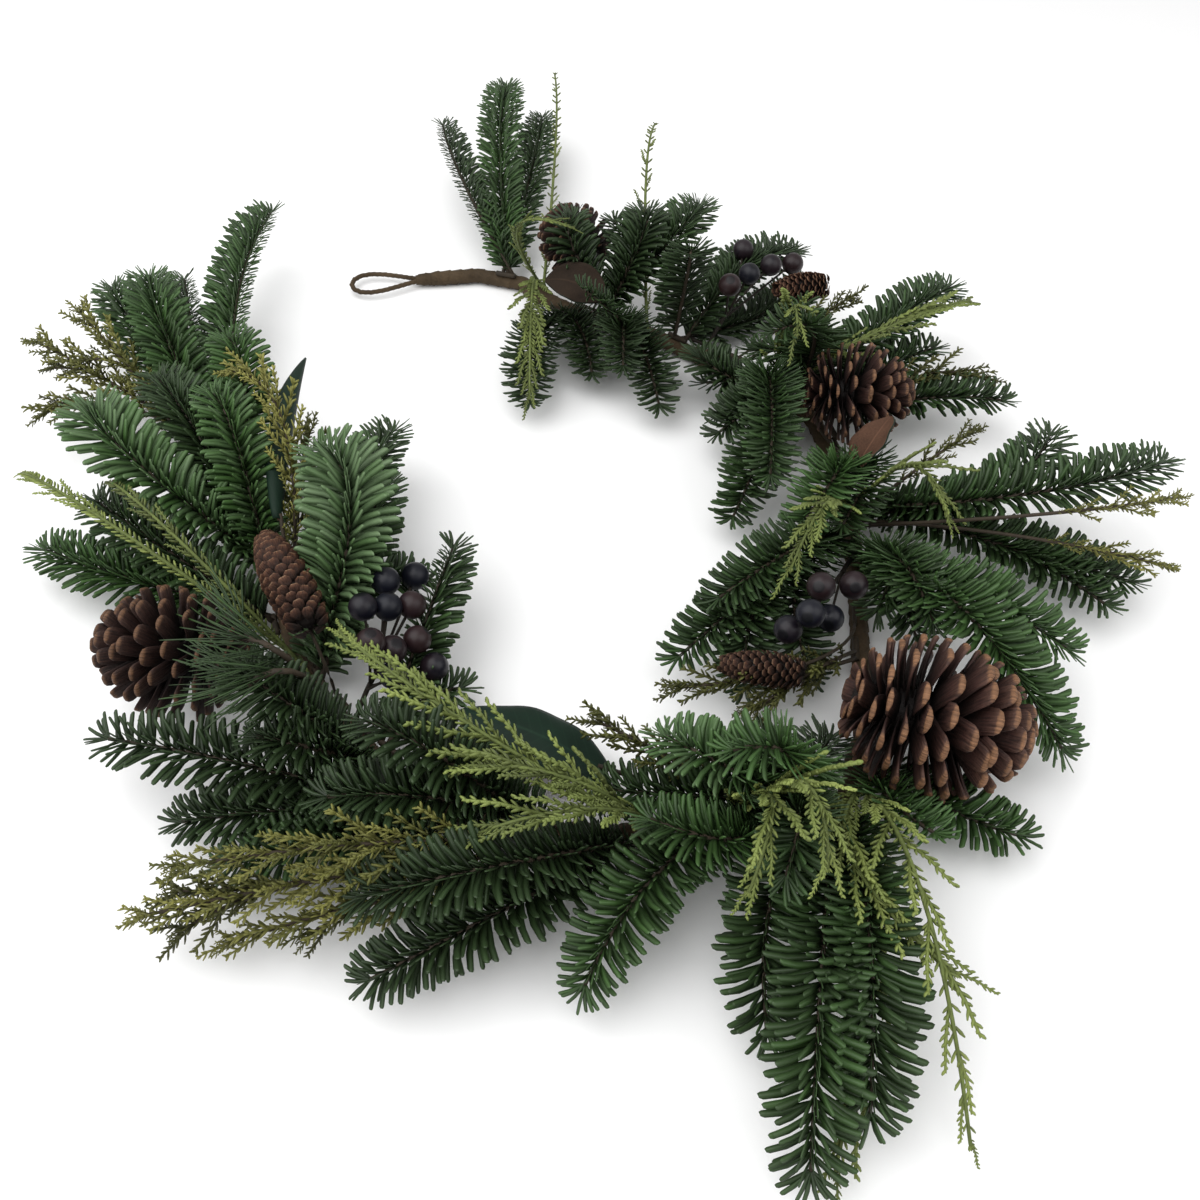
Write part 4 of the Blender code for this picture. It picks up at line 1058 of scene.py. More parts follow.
def sprays(copies, node, heel, lines, shapes, trim, usual):
    """Put bark on a bough's heel and twigs, and give each twig's number, line, random numbers and shade."""
    foliage = PLANTS[BOUGHS[node].plant]
    copies.add_rod(shapes["twig"], heel, HEEL_RADIUS)
    for branch, line in enumerate(lines, start=1):
        line = line.shortened(trim)
        copies.add_rod(shapes["twig"], line, foliage.thick, foliage.thin)
        yield branch, line, spray_draw(node, branch), of_branch(TONES_AND_PAINTED_SHADE, node, branch, usual)


def make_fir(node, heel, lines, shapes, sizes):
    """A fir bough: combs of broad needles on both sides and on top of every twig."""
    copies = Copies()
    lines = with_shoots(node, lines)
    for branch, twig, draw, shade in sprays(copies, node, heel, lines, shapes, FIR_TRIM, FIR_SHADE):
        thinned = of_branch(THINNED, node, branch, 1.0) * sizes.fir_spacing
        weak_side = of_branch(ONE_SIDED, node, branch, 0.0)
        long = sizes.fir_length * 1000 * of_branch(LONGER, node, branch, 1.0)
        for side in (1.0, -1.0):
            weak = SHORT_SIDE if side == weak_side else 1.0
            for number, (rise, spacing, share, spread) in enumerate(FIR_ROWS):
                row = (side, rise, spacing * thinned, share * weak, spread, FIR_BARE)
                dress_row(copies, shapes["needle" if number < 2 else "inner"], twig, row, long, shade, draw)
        dress_tip(copies, shapes["needle"], twig, long, shade, draw)
    stand_for(copies.make(node + "_needles", "fir", "twig"), node)


def make_cedar(node, heel, lines, shapes, sizes):
    """A cedar bough: flat fronds of slim branchlets that lie close along the stem, left and right in turn."""
    copies = Copies()
    for branch, line, draw, shade in sprays(copies, node, heel, lines, shapes, CEDAR_TRIM, CEDAR_SHADE):
        smaller, apart = (of_branch(table, node, branch, 1.0) for table in (CEDAR_SIZES, CEDAR_OPEN))
        size, spacing = sizes.cedar_length * 1000 * smaller, CEDAR_SPACING * apart / (0.4 + 0.6 * smaller)
        bare = of_branch(CEDAR_BARES, node, branch, CEDAR_BARE)
        count = max(2, int((line.length - bare) / spacing))
        lengths = bare + (line.length - bare - 3) * np.linspace(0, 1, count) ** (0.5 + 0.5 * apart)
        share = lengths / line.length
        places, ahead, left, up = line.read(lengths)
        side = np.where(np.arange(count) % 2, 1.0, -1.0)[:, None]
        outward = lifted(left, up, side, draw.normal(6.0, 10.0, count))[0]
        turn = CEDAR_SPREAD * (1.0 - 0.35 * share) + draw.normal(0, 5, count)
        axes = needle_axes(ahead, outward, up, turn, side)
        full = np.clip((lengths - CEDAR_BARE) / 40.0, 0, 1) * 0.35 + 0.65
        scales = size * full * (1.0 - 0.55 * share ** 2) * draw.normal(1, 0.14, count).clip(0.7, 1.25)
        copies.add(shapes["cedar"], places, axes, scales, chances(draw, count, shade))
        for turned in (1.0, -1.0):
            row = (turned, 10.0, 3.4 * apart ** 2, 1.0, 38.0, CEDAR_BARE)
            dress_row(copies, shapes["spur"], line, row, CEDAR_SPUR, shade, draw)
        dress_tip(copies, shapes["spur"], line, CEDAR_SPUR, shade, draw, 40.0, 5)
    stand_for(copies.make(node + "_fronds", "cedar", "cedar_twig"), node)


def make_juniper(node, heel, lines, shapes, sizes):
    """A juniper bough: stems with bushy branchlets and short blunt spurs all round them."""
    copies = Copies()
    lines = with_shoots(node, lines)
    for branch, line, draw, shade in sprays(copies, node, heel, lines, shapes, JUNIPER_TRIM, JUNIPER_SHADE):
        bare = max(JUNIPER_BARE, line.length * of_branch(JUNIPER_BARES, node, branch, JUNIPER_BARE_SHARE))
        size = sizes.juniper_length * 1000 * of_branch(JUNIPER_SIZES, node, branch, 1.0)
        dress_round(copies, shapes["juniper"], line, bare, JUNIPER_SPACING, size, 40.0, shade, draw)
        dress_round(copies, shapes["spur"], line, bare, 1.7, 6.0, 42.0, shade, draw, 0.9)
        dress_tip(copies, shapes["juniper"], line, size * 0.75, shade, draw, 34.0, 4)
    stand_for(copies.make(node + "_sprigs", "juniper", "twig"), node)


def make_pine(node, heel, lines, shapes, sizes):
    """A tuft of long thin pine needles that fan out level, thickest towards the twigs' tips."""
    copies = Copies()
    copies.add_rod(shapes["twig"], heel, HEEL_RADIUS)
    for branch, line in enumerate(lines, start=1):
        draw = spray_draw(node, branch)
        copies.add_rod(shapes["twig"], line, PLANTS["pine"].thick)
        lengths = line.length * (0.20 + 0.79 * np.sqrt(draw.uniform(0, 1, PINE_NEEDLES)))
        places, ahead, left, up = line.read(lengths)
        ahead = units(ahead * vec(1, 1, PINE_LEVEL) + vec(*PINE_LEAN))
        around = draw.uniform(0, math.tau, PINE_NEEDLES)
        outward = left * np.cos(around)[:, None] + up * (0.45 * np.sin(around))[:, None]
        outward = square_to(outward, ahead)
        turn = draw.normal(24, 9, PINE_NEEDLES).clip(4, 48)
        axes = needle_axes(ahead, outward, np.cross(ahead, outward), turn)
        scales = sizes.pine_length * 1000 * draw.uniform(0.75, 1.05, PINE_NEEDLES)
        copies.add(shapes["needle"], places, axes, scales, chances(draw, PINE_NEEDLES, PINE_SHADE))
    stand_for(copies.make(node + "_needles", "pine", "twig"), node)


def cone_axis(cone):
    """A cone's base, the way to its apex, and how tall it is."""
    base, apex = vec(*cone.base), vec(*cone.apex)
    tall = float(np.linalg.norm(apex - base))
    return base, (apex - base) / tall, tall


def reach_out(cone, place, way):
    """How far each scale reaches before it meets the cone's egg-shaped outline."""
    base, axis, tall = cone_axis(cone)
    steps = np.linspace(0.02, 0.62, 90) * cone.width
    points = place[:, None] + way[:, None] * steps[None, :, None] - base
    height = points @ axis
    off = np.linalg.norm(points - height[..., None] * axis, axis=2)
    belly = tall * 0.42
    half = np.where(height < belly, belly * 1.02, tall - belly)
    outside = ((height - belly) / half) ** 2 + (off / (cone.width / 2)) ** 2 > 1.0
    first = np.where(outside.any(axis=1), outside.argmax(axis=1), len(steps) - 1)
    return steps[first]


def make_cone(node, cone, heel, wire, shapes):
    """A cone: scales set in a spiral round a woody heart, each turned to suit its height, and its wire."""
    form, open_kind = CONE_FORMS[cone.kind], cone.kind == "open"
    copies, draw = Copies(), spray_draw(node, 1)
    base, axis, tall = cone_axis(cone)
    across = unit(np.cross(axis, UP if abs(axis[2]) < 0.9 else vec(1, 0, 0)))
    number = np.arange(form.count)
    height = (number + 0.5) / form.count
    around = number * GOLDEN_TURN + draw.normal(0, 0.06, form.count)
    outward = np.cos(around)[:, None] * across + np.sin(around)[:, None] * np.cross(axis, across)
    lean = np.interp(height, form.heights, form.leans) + draw.normal(0, form.unevenness, form.count)
    level, rise = np.cos(np.radians(lean))[:, None], np.sin(np.radians(lean))[:, None]
    along, normal = outward * level + axis * rise, axis * level - outward * rise
    axes = np.stack([np.cross(along, normal), along, normal], axis=1)
    slim = np.sin(np.pi * (0.10 + 0.82 * height)) ** 0.5
    station = form.lowest + form.climb * height
    places = base + axis * (tall * station)[:, None] + outward * (form.heart * cone.width * slim)[:, None]
    reach = np.maximum(reach_out(cone, places, along), cone.width * form.least)
    reach = reach * draw.normal(1, 0.03, form.count)
    if open_kind:
        broad = cone.width * SCALE_WIDTHS[node] * (0.72 + 0.28 * slim) / reach
        axes = axes * np.stack([broad, np.ones(form.count), broad], axis=1)[..., None]
    else:
        reach = np.minimum(reach, cone.width * 0.42)
    shade = of_branch(TONES_AND_PAINTED_SHADE, node, 1, 0.5)
    copies.add(shapes[cone.kind], places, axes, reach, chances(draw, form.count, shade))
    spine = Line([base + axis * tall * share for share in (0.06, 0.5, 0.90)])

    def thickness(length):
        belly = math.sin(math.pi * (0.06 + 0.88 * length / spine.length))
        return cone.width * form.spine * max(0.10, belly) ** 0.6

    copies.add_along(shapes["heart"], spine, thickness, (0.2, 0.1))
    # The heart takes the darkest inside colour, which is partly painted shade deep in the cone
    copies.tones[-1][:, 0] = 0.0
    copies.add_rod(shapes["twig"], heel, WIRE_HEEL_RADIUS)
    copies.add_rod(shapes["twig"], wire, WIRE_RADIUS)
    stand_for(copies.make(node + "_scales", cone.kind + "_cone", "twig"), node)


def model_berry():
    """A round berry along +Y with a small sunken crown at its far end."""
    select()
    bpy.ops.mesh.primitive_uv_sphere_add(segments=20, ring_count=14, radius=0.5, location=(0, 0.5, 0),
                                         rotation=(-math.pi / 2, 0, 0))
    obj = bpy.context.object
    bpy.ops.object.transform_apply()
    for vert in obj.data.vertices:
        off = math.hypot(vert.co.x, vert.co.z)
        if vert.co.y > 0.5 and off < CROWN_INSIDE:
            vert.co.y -= 0.035 * (1.0 - off / CROWN_INSIDE)
        elif vert.co.y > 0.5 and off < CROWN_EDGE:
            vert.co.y += 0.018
    return Shape(obj)


def make_bunch(node, heel, stem, stalks, shapes):
    """Berries on thin stalks, each a little different in size and turn."""
    copies, draw = Copies(), spray_draw(node, 1)
    copies.add_rod(shapes["twig"], heel, BUNCH_HEEL_RADIUS)
    copies.add_rod(shapes["twig"], stem, BUNCH_STEM_RADIUS)
    for first, second, share in FILLING_BERRIES.get(node, ()):
        end = stalks[first].points[-1] * (1.0 - share) + stalks[second].points[-1] * share
        stalks = stalks + [Line([stem.points[-1], end])]
    for stalk in stalks:
        way = stalk.heading(stalk.length)
        start = stalk.points[-1] - way * BERRY_DIAMETER
        copies.add_rod(shapes["twig"], Line([stalk.points[0], start + way * 1.0]), STALK_RADIUS)
        left = unit(np.cross(UP, way) + vec(0.001, 0, 0))
        axes = np.stack([np.cross(way, np.cross(left, way)), way, np.cross(left, way)])[None]
        tones = chances(draw, 1, of_branch(TONES_AND_PAINTED_SHADE, node, 1, 0.5))
        size = np.array([BERRY_DIAMETER * draw.uniform(0.96, 1.0)])
        copies.add(shapes["berry"], start[None], axes, size, tones)
    stand_for(copies.make(node + "_fruit", "berry", "berry_stalk"), node)


def model_leaf_sheet():
    """A flat sheet along +Y, two units wide, fine enough to bend and curl."""
    select()
    bpy.ops.mesh.primitive_grid_add(x_subdivisions=12, y_subdivisions=28, size=1.0, location=(0, 0.5, 0))
    obj = bpy.context.object
    obj.scale = (2.0, 1.0, 1.0)
    bpy.ops.object.transform_apply()
    return Shape(obj)


def make_leaf(node, leaf, heel, stalk, rib, shapes):
    """A magnolia leaf: an arched blade with a raised rib and wavy edges, glossy above and felted below."""
    sheet, draw = shapes["leaf"], spray_draw(node, 1)
    turn = math.radians(leaf.turn)
    shares = 0.02 + 0.96 * sheet.along
    places, ahead, left, up = rib.read(shares * rib.length)
    across = left * math.cos(turn) + up * math.sin(turn)
    under = -np.cross(ahead, across)
    half = np.array([leaf_half_width(share, leaf.width) for share in shares])[:, None]
    aside, curl = sheet.points[:, 0], LEAF_CURLS[node]
    wave = 0.05 * np.sin(shares * 17 + draw.uniform(0, 6) + aside) * np.abs(aside) ** 3
    spread_out, fold = np.sin(curl * aside) / curl, (1.0 - np.cos(curl * aside)) / curl + wave
    points = places + (across * spread_out[:, None] + under * fold[:, None]) * half
    copies = Copies()
    copies.gather(sheet, points[None], np.array([True]), (0.5, of_branch(TONES_AND_PAINTED_SHADE, node, 1, 0.5)), 0)
    blade = copies.make(node + "_blade", "leaf_top", "leaf_under")
    select(blade)
    solid = blade.modifiers.new("thickness", "SOLIDIFY")
    solid.thickness = LEAF_THICKNESS * MM
    solid.material_offset = 1
    bpy.ops.object.modifier_apply(modifier=solid.name)
    stand_for(blade, node)
    rods = Copies()
    rods.add_rod(shapes["twig"], heel, LEAF_HEEL_RADIUS, slot=0)
    rods.add_rod(shapes["twig"], stalk, LEAF_STALK_RADIUS, slot=0)
    stalk_piece = rods.make(node + "_stalk", "twig")
    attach(stalk_piece, BODY)


def tape(pitch, height):
    """The relief of paper tape wound round a rod: each turn laps over the one before it."""
    def relief(lengths, turns):
        phase = (lengths / pitch - turns / math.tau) % 1.0
        return height * (phase ** 1.5) * np.clip((1.0 - phase) * 12.0, 0, 1)
    return relief


def make_core(core, shapes):
    """The core: twigs and wire bound round with brown paper tape, thicker at its knots."""
    def radius(length):
        ends = min(length, core.length - length)
        return core_radius(length) * (0.80 + 0.20 * min(1.0, ends / ROUNDED_END))

    copies = Copies()
    copies.add_along(shapes["core"], core, radius, relief=tape(8.5, 0.7))
    stand_for(copies.make("main_stem_wrap", "paper"), "main_stem")


def make_loop(node, neck, wire, shapes):
    """A hanging loop: wire wound with paper tape, its legs held in a wrapped neck."""
    lapped = Line([neck.points[0] - unit(neck.points[1] - neck.points[0]) * NECK_LAP, neck.points[1]])

    def radius(length):
        return NECK_RADIUS * (0.74 + 0.26 * min(1.0, (lapped.length - length) / ROUNDED_END))

    copies = Copies()
    copies.add_along(shapes["wire"], wire, lambda length: LOOP_WIRE, relief=tape(4.2, 0.35))
    copies.add_along(shapes["neck"], lapped, radius, relief=tape(5.0, 0.6))
    stand_for(copies.make(node + "_wrap", "paper"), node)


# Finishes: shader maths is written as expressions on sockets


def maths(operation, turned=False):
    """A method for Value that makes one Math node, with its two values in turn or turned round."""
    def method(self, other=0.0):
        first, second = (other, self) if turned else (self, other)
        return self.paint.node("ShaderNodeMath", {"operation": operation}, {0: first, 1: second})
    return method


class Value:
    """A shader socket that can be added, multiplied and compared like a number."""

    def __init__(self, paint, socket):
        self.paint, self.socket = paint, socket

    __add__ = __radd__ = maths("ADD")
    __sub__ = maths("SUBTRACT")
    __rsub__ = maths("SUBTRACT", turned=True)
    __mul__ = __rmul__ = maths("MULTIPLY")
    __gt__ = maths("GREATER_THAN")
    __pow__ = maths("POWER")
    __abs__ = maths("ABSOLUTE")


class Paint:
    """A material in the making: one Principled BSDF and the nodes that feed it."""

    def __init__(self, name, specular):
        self.material = bpy.data.materials.new(name)
        self.material.use_nodes = True
        self.nodes = self.material.node_tree.nodes
        self.links = self.material.node_tree.links
        self.shader = self.nodes["Principled BSDF"]
        self.shader.inputs["Specular IOR Level"].default_value = specular

    def feed(self, socket, value):
        if isinstance(value, Value):
            self.links.new(value.socket, socket)
        elif hasattr(value, "__len__") and socket.type == "RGBA":
            socket.default_value = (*value[:3], 1.0)
        else:
            socket.default_value = value

    def node(self, kind, settings=None, values=None, output=0):
        """Any other node: its settings are set first, then the values or links of its sockets."""
        made = self.nodes.new(kind)
        for key, value in (settings or {}).items():
            setattr(made, key, value)
        for key, value in (values or {}).items():
            self.feed(made.inputs[key], value)
        return Value(self, made.outputs[output])

    def ramp(self, factor, *stops):
        """Colours that blend into each other at those places."""
        made = self.node("ShaderNodeValToRGB", {}, {"Fac": factor})
        elements = made.socket.node.color_ramp.elements
        while len(elements) < len(stops):
            elements.new(0.5)
        for element, (place, colour) in zip(elements, stops):
            element.position = place
            element.color = (*colour[:3], 1.0)
        return made

    def mix(self, factor, first, second, blend="MIX"):
        """Mix two colours: sockets 0, 6, 7 and output 2 are the factor, A, B and the result."""
        values = {0: factor, 6: first, 7: second}
        return self.node("ShaderNodeMix", {"data_type": "RGBA", "blend_type": blend}, values, 2)

    def multiply(self, first, second):
        return self.mix(1.0, first, second, "MULTIPLY")

    def clamp(self, value):
        return self.node("ShaderNodeClamp", {}, {"Value": value})

    def noise(self, size_mm, detail=2.0, stretch=(1.0, 1.0, 1.0)):
        """Soft noise from 0 to 1 whose features are about that many millimetres wide."""
        place = self.node("ShaderNodeTexCoord", output="Object")
        shifted = self.node("ShaderNodeMapping", {}, {"Vector": place, "Scale": stretch})
        scale = 1.0 / (size_mm * MM * 2.0)
        return self.node("ShaderNodeTexNoise", {}, {"Vector": shifted, "Scale": scale, "Detail": detail})

    def tone(self):
        """The piece's own tones: share along the shape, chance, shade, and place across the shape."""
        parts = self.node("ShaderNodeAttribute", {"attribute_name": TONE}, {}, "Color")
        colour = [self.node("ShaderNodeSeparateColor", {}, {"Color": parts}, key)
                  for key in ("Red", "Green", "Blue")]
        across = self.node("ShaderNodeAttribute", {"attribute_name": TONE}, {}, "Alpha")
        return (*colour, across)

    def surface(self, colour, roughness, height=None, depth_mm=0.1, strength=0.5):
        """Feed the shader, with a bump of that depth where a height is given, and give the material."""
        self.feed(self.shader.inputs["Base Color"], colour)
        self.feed(self.shader.inputs["Roughness"], roughness)
        if height is not None:
            values = {"Strength": strength, "Distance": depth_mm * MM, "Height": height}
            self.feed(self.shader.inputs["Normal"], self.node("ShaderNodeBump", {}, values, "Normal"))
        return self.material


def scaled(colour, factor):
    return tuple(part * factor for part in colour)


def needle_finish(name, deep, fresh, pale, roughness):
    """Needles: darker at the root, each its own green, with two pale bands and softly uneven gloss."""
    paint = Paint(name, 0.30)
    along, chance, shade, across = paint.tone()
    patch = paint.noise(18.0, 2.0)
    greens = paint.ramp(shade + (chance - 0.5) * 0.26 + (patch - 0.5) * 0.35,
                        (0.0, scaled(deep, 0.55)), (0.28, deep), (0.62, fresh), (1.0, pale))
    base = paint.multiply(greens, paint.mix(along ** 0.8, (0.50, 0.50, 0.50), (1.12, 1.12, 1.05)))
    rib = (abs(across - 0.5) * 2.0) ** 0.6
    banded = paint.mix(rib * 0.30, base, paint.mix(0.5, base, pale))
    fine = paint.noise(0.8, 3.0)
    return paint.surface(banded, roughness + (fine - 0.5) * 0.22, fine, 0.10, 0.25)


def bark_finish(name, dark, light, darker, lighter):
    """Bark: fine grain between a darker and a lighter tone of those colours."""
    paint = Paint(name, 0.3)
    grain = paint.noise(1.6, 5.0, (1.0, 1.0, 0.5))
    patch = paint.noise(9.0, 2.0)
    stops = (0.25, scaled(dark, darker)), (0.7, scaled(light, lighter))
    colour = paint.ramp(grain * 0.6 + patch * 0.4, *stops)
    return paint.surface(colour, 0.62 + grain * 0.2, grain, 0.25, 0.6)


def paper_finish(name, colour):
    """Brown crepe tape: fibres, fine creases across the winding, and paler and darker patches."""
    paint = Paint(name, 0.25)
    crease = paint.noise(0.7, 4.0)
    cloud = paint.noise(7.0, 3.0)
    tint = paint.ramp(cloud * 0.55 + crease * 0.45, (0.25, scaled(colour, 0.45)), (0.5, colour),
                      (0.78, scaled(colour, 1.7)))
    return paint.surface(tint, 0.74 + crease * 0.16, crease + cloud * 0.4, 0.35, 0.8)


def scale_finish(name, inner, middle, tip, boss):
    """Cone scales: dark towards the heart, partly their own dark brown and partly painted shade in the
    hollows, reddish in the middle, tan on the end, with fibres along them.
    """
    paint = Paint(name, 0.30)
    along, chance, shade, across = paint.tone()
    place = {"X": across * 9.0, "Y": along * 1.8, "Z": chance * 31.0}
    on_scale = paint.node("ShaderNodeCombineXYZ", {}, place)
    fibre = paint.node("ShaderNodeTexNoise", {}, {"Vector": on_scale, "Scale": 1.6, "Detail": 4.0})
    grain = paint.noise(0.7, 4.0)
    patch = paint.noise(5.0, 3.0)
    at = along + (grain - 0.5) * 0.07 + (chance - 0.5) * 0.04
    colour = paint.ramp(at, (0.34, inner), (0.76, middle), (0.94, tip), (0.985, boss))
    streaks = paint.ramp(fibre, (0.32, (0.45, 0.42, 0.42)), (0.66, (1.35, 1.3, 1.25)))
    streaked = paint.multiply(colour, streaks)
    worn = paint.mix(patch * 0.5, streaked, paint.multiply(streaked, (0.55, 0.50, 0.50)))
    # Each cone's shade darkens or lightens it: the cones' own tones, and for pine_cone_4 painted shade from
    # the fir over it
    toned_with_painted_shade = paint.multiply(worn, paint.mix(shade, (0.45, 0.45, 0.45), (1.55, 1.55, 1.55)))
    return paint.surface(toned_with_painted_shade, 0.55 + grain * 0.25, fibre + grain * 0.5, 0.7, 0.9)


def berry_finish(name, skin, blush, bloom):
    """Berries: dark skin with a dull pale bloom in clouds, and a blush on some."""
    paint = Paint(name, 0.3)
    along, chance, _, _ = paint.tone()
    cloud = paint.noise(6.0, 4.0)
    speck = paint.noise(0.5, 2.0)
    body = paint.mix(paint.clamp((chance - 0.30) * 1.5 + (cloud - 0.5) * 1.6), skin, blush)
    dusted = paint.mix(paint.clamp((cloud - 0.48) * 1.5), body, bloom)
    crown = paint.mix((along > 0.955) * 0.8, dusted, scaled(skin, 0.3))
    return paint.surface(crown, 0.28 + cloud * 0.26, speck, 0.08, 0.3)


def leaf_top_finish(name, colour, rib_colour):
    """The glossy face of a leaf: a pale rib, slanting veins and slightly quilted skin between them."""
    paint = Paint(name, 0.14)
    along, _, _, across = paint.tone()
    aside = abs(across - 0.5) * 2.0
    veins = paint.node("ShaderNodeMath", {"operation": "SINE"}, {0: (along - aside * 0.16) * 78.0})
    thin = paint.clamp(veins * 6.0 - 4.8)
    rib = paint.clamp(1.0 - aside * 16.0)
    patch = paint.noise(9.0, 3.0)
    body = paint.mix(patch, scaled(colour, 0.7), scaled(colour, 1.4))
    veined = paint.mix(rib * 0.8 + thin * 0.22, body, rib_colour)
    return paint.surface(veined, 0.50 + patch * 0.12, veins * 0.4 + rib * 1.5 + patch * 0.3, 0.03, 0.3)


def leaf_under_finish(name, colour):
    """The felted underside: rust-brown nap with the rib and veins showing through."""
    paint = Paint(name, 0.2)
    _, _, shade, across = paint.tone()
    rib = paint.clamp(1.0 - abs(across - 0.5) * 2.0 * 14.0)
    nap = paint.noise(0.5, 4.0)
    patch = paint.noise(8.0, 2.0)
    body = paint.ramp(nap * 0.5 + patch * 0.5, (0.3, scaled(colour, 0.6)), (0.7, scaled(colour, 1.35)))
    ribbed = paint.mix(rib * 0.7, body, scaled(colour, 1.9))
    # Each leaf's shade darkens or lightens its felt: the leaves' own tones, and for magnolia_leaf_1 painted
    # shade from the foliage over it
    toned_with_painted_shade = paint.multiply(ribbed, paint.mix(shade, (0.30, 0.36, 0.36), (1.7, 1.6, 1.6)))
    return paint.surface(toned_with_painted_shade, 0.8 + nap * 0.1, nap + rib * 2.0, 0.2, 0.6)


def floor_finish(name, colour):
    paint = Paint(name, 0.2)
    cloud = paint.noise(90.0, 2.0)
    return paint.surface(paint.mix(cloud, scaled(colour, 0.985), colour), 0.75 + cloud * 0.1)


# Each finish: what makes it, the user's colours that it takes, and what else it takes
FINISHES = {
    "fir": (needle_finish, ("fir_deep", "fir_fresh", "fir_pale"), 0.44),
    "cedar": (needle_finish, ("cedar_deep", "cedar_fresh", "cedar_pale"), 0.55),
    "juniper": (needle_finish, ("juniper_deep", "juniper_fresh", "juniper_pale"), 0.55),
    "pine": (needle_finish, ("fir_deep", "fir_fresh", "fir_pale"), 0.42),
    "twig": (bark_finish, ("bark", "bark"), 0.45, 1.3),
    "cedar_twig": (bark_finish, ("cedar_deep", "cedar_fresh"), 0.8, 1.0),
    "berry_stalk": (bark_finish, ("bark", "bark"), 0.2, 0.5),
    "paper": (paper_finish, ("paper",)),
    "open_cone": (scale_finish, ("cone_inner", "cone_middle", "cone_tip", "cone_boss")),
    "slim_cone": (scale_finish, ("slim_inner", "slim_middle", "slim_tip", "slim_edge")),
    "berry": (berry_finish, ("berry", "berry_blush", "berry_bloom")),
    "leaf_top": (leaf_top_finish, ("leaf", "leaf_rib")),
    "leaf_under": (leaf_under_finish, ("leaf_felt",)),
    "floor": (floor_finish, ("floor",)),
}


def finish(kind):
    """The finish of that kind, made from the user's colours when it is first asked for."""
    name = kind + "_finish"
    if name not in bpy.data.materials:
        tints = bpy.context.scene.garland_colours
        maker, colours, *others = FINISHES[kind]
        maker(name, *(getattr(tints, colour) for colour in colours), *others)
    return bpy.data.materials[name]


def tint(name, description, colour):
    return FloatVectorProperty(name=name, description=description, subtype="COLOR", size=3, min=0.0, max=1.0,
                               default=colour)


def length(name, description, millimetres):
    return FloatProperty(name=name, description=description, default=millimetres * MM, min=0.0, unit="LENGTH",
                         precision=4)


class GarlandSizes(bpy.types.PropertyGroup):
    """The sizes that a user would change."""

    fir_length: length("Fir needle", "Length of a full fir needle", 21.0)
    fir_width: length("Fir needle width", "Width of a fir needle", 3.3)
    fir_spacing: FloatProperty(name="Fir spacing", description="Space between needles, as a factor",
                               min=0.5, max=4.0, default=1.0, subtype="FACTOR")
    pine_length: length("Pine needle", "Length of a long pine needle", 42.0)
    pine_width: length("Pine needle width", "Width of a long pine needle", 1.1)
    cedar_length: length("Cedar branchlet", "Length of a full side branchlet of a cedar frond", 42.0)
    juniper_length: length("Juniper branchlet", "Length of a full side branchlet of juniper", 27.0)


class GarlandColours(bpy.types.PropertyGroup):
    """The colours that a user would change."""

    fir_deep: tint("Fir, deep", "Oldest fir needles", (0.019, 0.039, 0.011))
    fir_fresh: tint("Fir, fresh", "Youngest fir needles", (0.046, 0.106, 0.025))
    fir_pale: tint("Fir, pale", "Silvery fir needles", (0.125, 0.188, 0.100))
    cedar_deep: tint("Cedar, deep", "Oldest cedar scales", (0.060, 0.076, 0.024))
    cedar_fresh: tint("Cedar, fresh", "Cedar fronds", (0.150, 0.190, 0.050))
    cedar_pale: tint("Cedar, pale", "Cedar tips", (0.340, 0.400, 0.115))
    juniper_deep: tint("Juniper, deep", "Oldest juniper scales", (0.034, 0.038, 0.008))
    juniper_fresh: tint("Juniper, fresh", "Juniper sprigs", (0.094, 0.101, 0.024))
    juniper_pale: tint("Juniper, pale", "Juniper tips", (0.230, 0.225, 0.060))
    bark: tint("Bark", "Twigs", (0.036, 0.026, 0.016))
    paper: tint("Paper tape", "The tape round the core and the loops", (0.055, 0.037, 0.020))
    # The inside colours are partly the scales' own dark brown and partly painted shade in the hollows between
    # scales
    cone_inner: tint("Cone, inside", "Scales near the cone's heart", (0.014, 0.008, 0.007))
    cone_middle: tint("Cone, middle", "Middle of a scale", (0.045, 0.020, 0.016))
    cone_tip: tint("Cone, end", "End of a scale", (0.080, 0.042, 0.031))
    cone_boss: tint("Cone, boss", "The small boss on a scale's end", (0.200, 0.105, 0.055))
    # Partly the slim scales' own dark brown and partly painted shade in the gaps between them
    slim_inner: tint("Slim cone, inside", "Slim cone scales near the heart", (0.012, 0.006, 0.004))
    slim_middle: tint("Slim cone, middle", "Middle of a slim cone's scale", (0.036, 0.014, 0.007))
    slim_tip: tint("Slim cone, end", "End of a slim cone's scale", (0.078, 0.034, 0.017))
    slim_edge: tint("Slim cone, edge", "Edge of a slim cone's scale", (0.170, 0.105, 0.062))
    berry: tint("Berry", "Dark skin of a berry", (0.004, 0.0045, 0.009))
    berry_blush: tint("Berry, blush", "Reddish skin of some berries", (0.021, 0.008, 0.007))
    berry_bloom: tint("Berry, bloom", "Dull bloom on a berry", (0.008, 0.010, 0.020))
    leaf: tint("Leaf, top", "Glossy face of a magnolia leaf", (0.006, 0.017, 0.010))
    leaf_rib: tint("Leaf, rib", "Rib and veins of a magnolia leaf", (0.012, 0.032, 0.018))
    leaf_felt: tint("Leaf, underside", "Felted underside of a magnolia leaf", (0.070, 0.036, 0.022))
    floor: tint("Floor", "The floor that the garland lies on", (0.900, 0.900, 0.900))


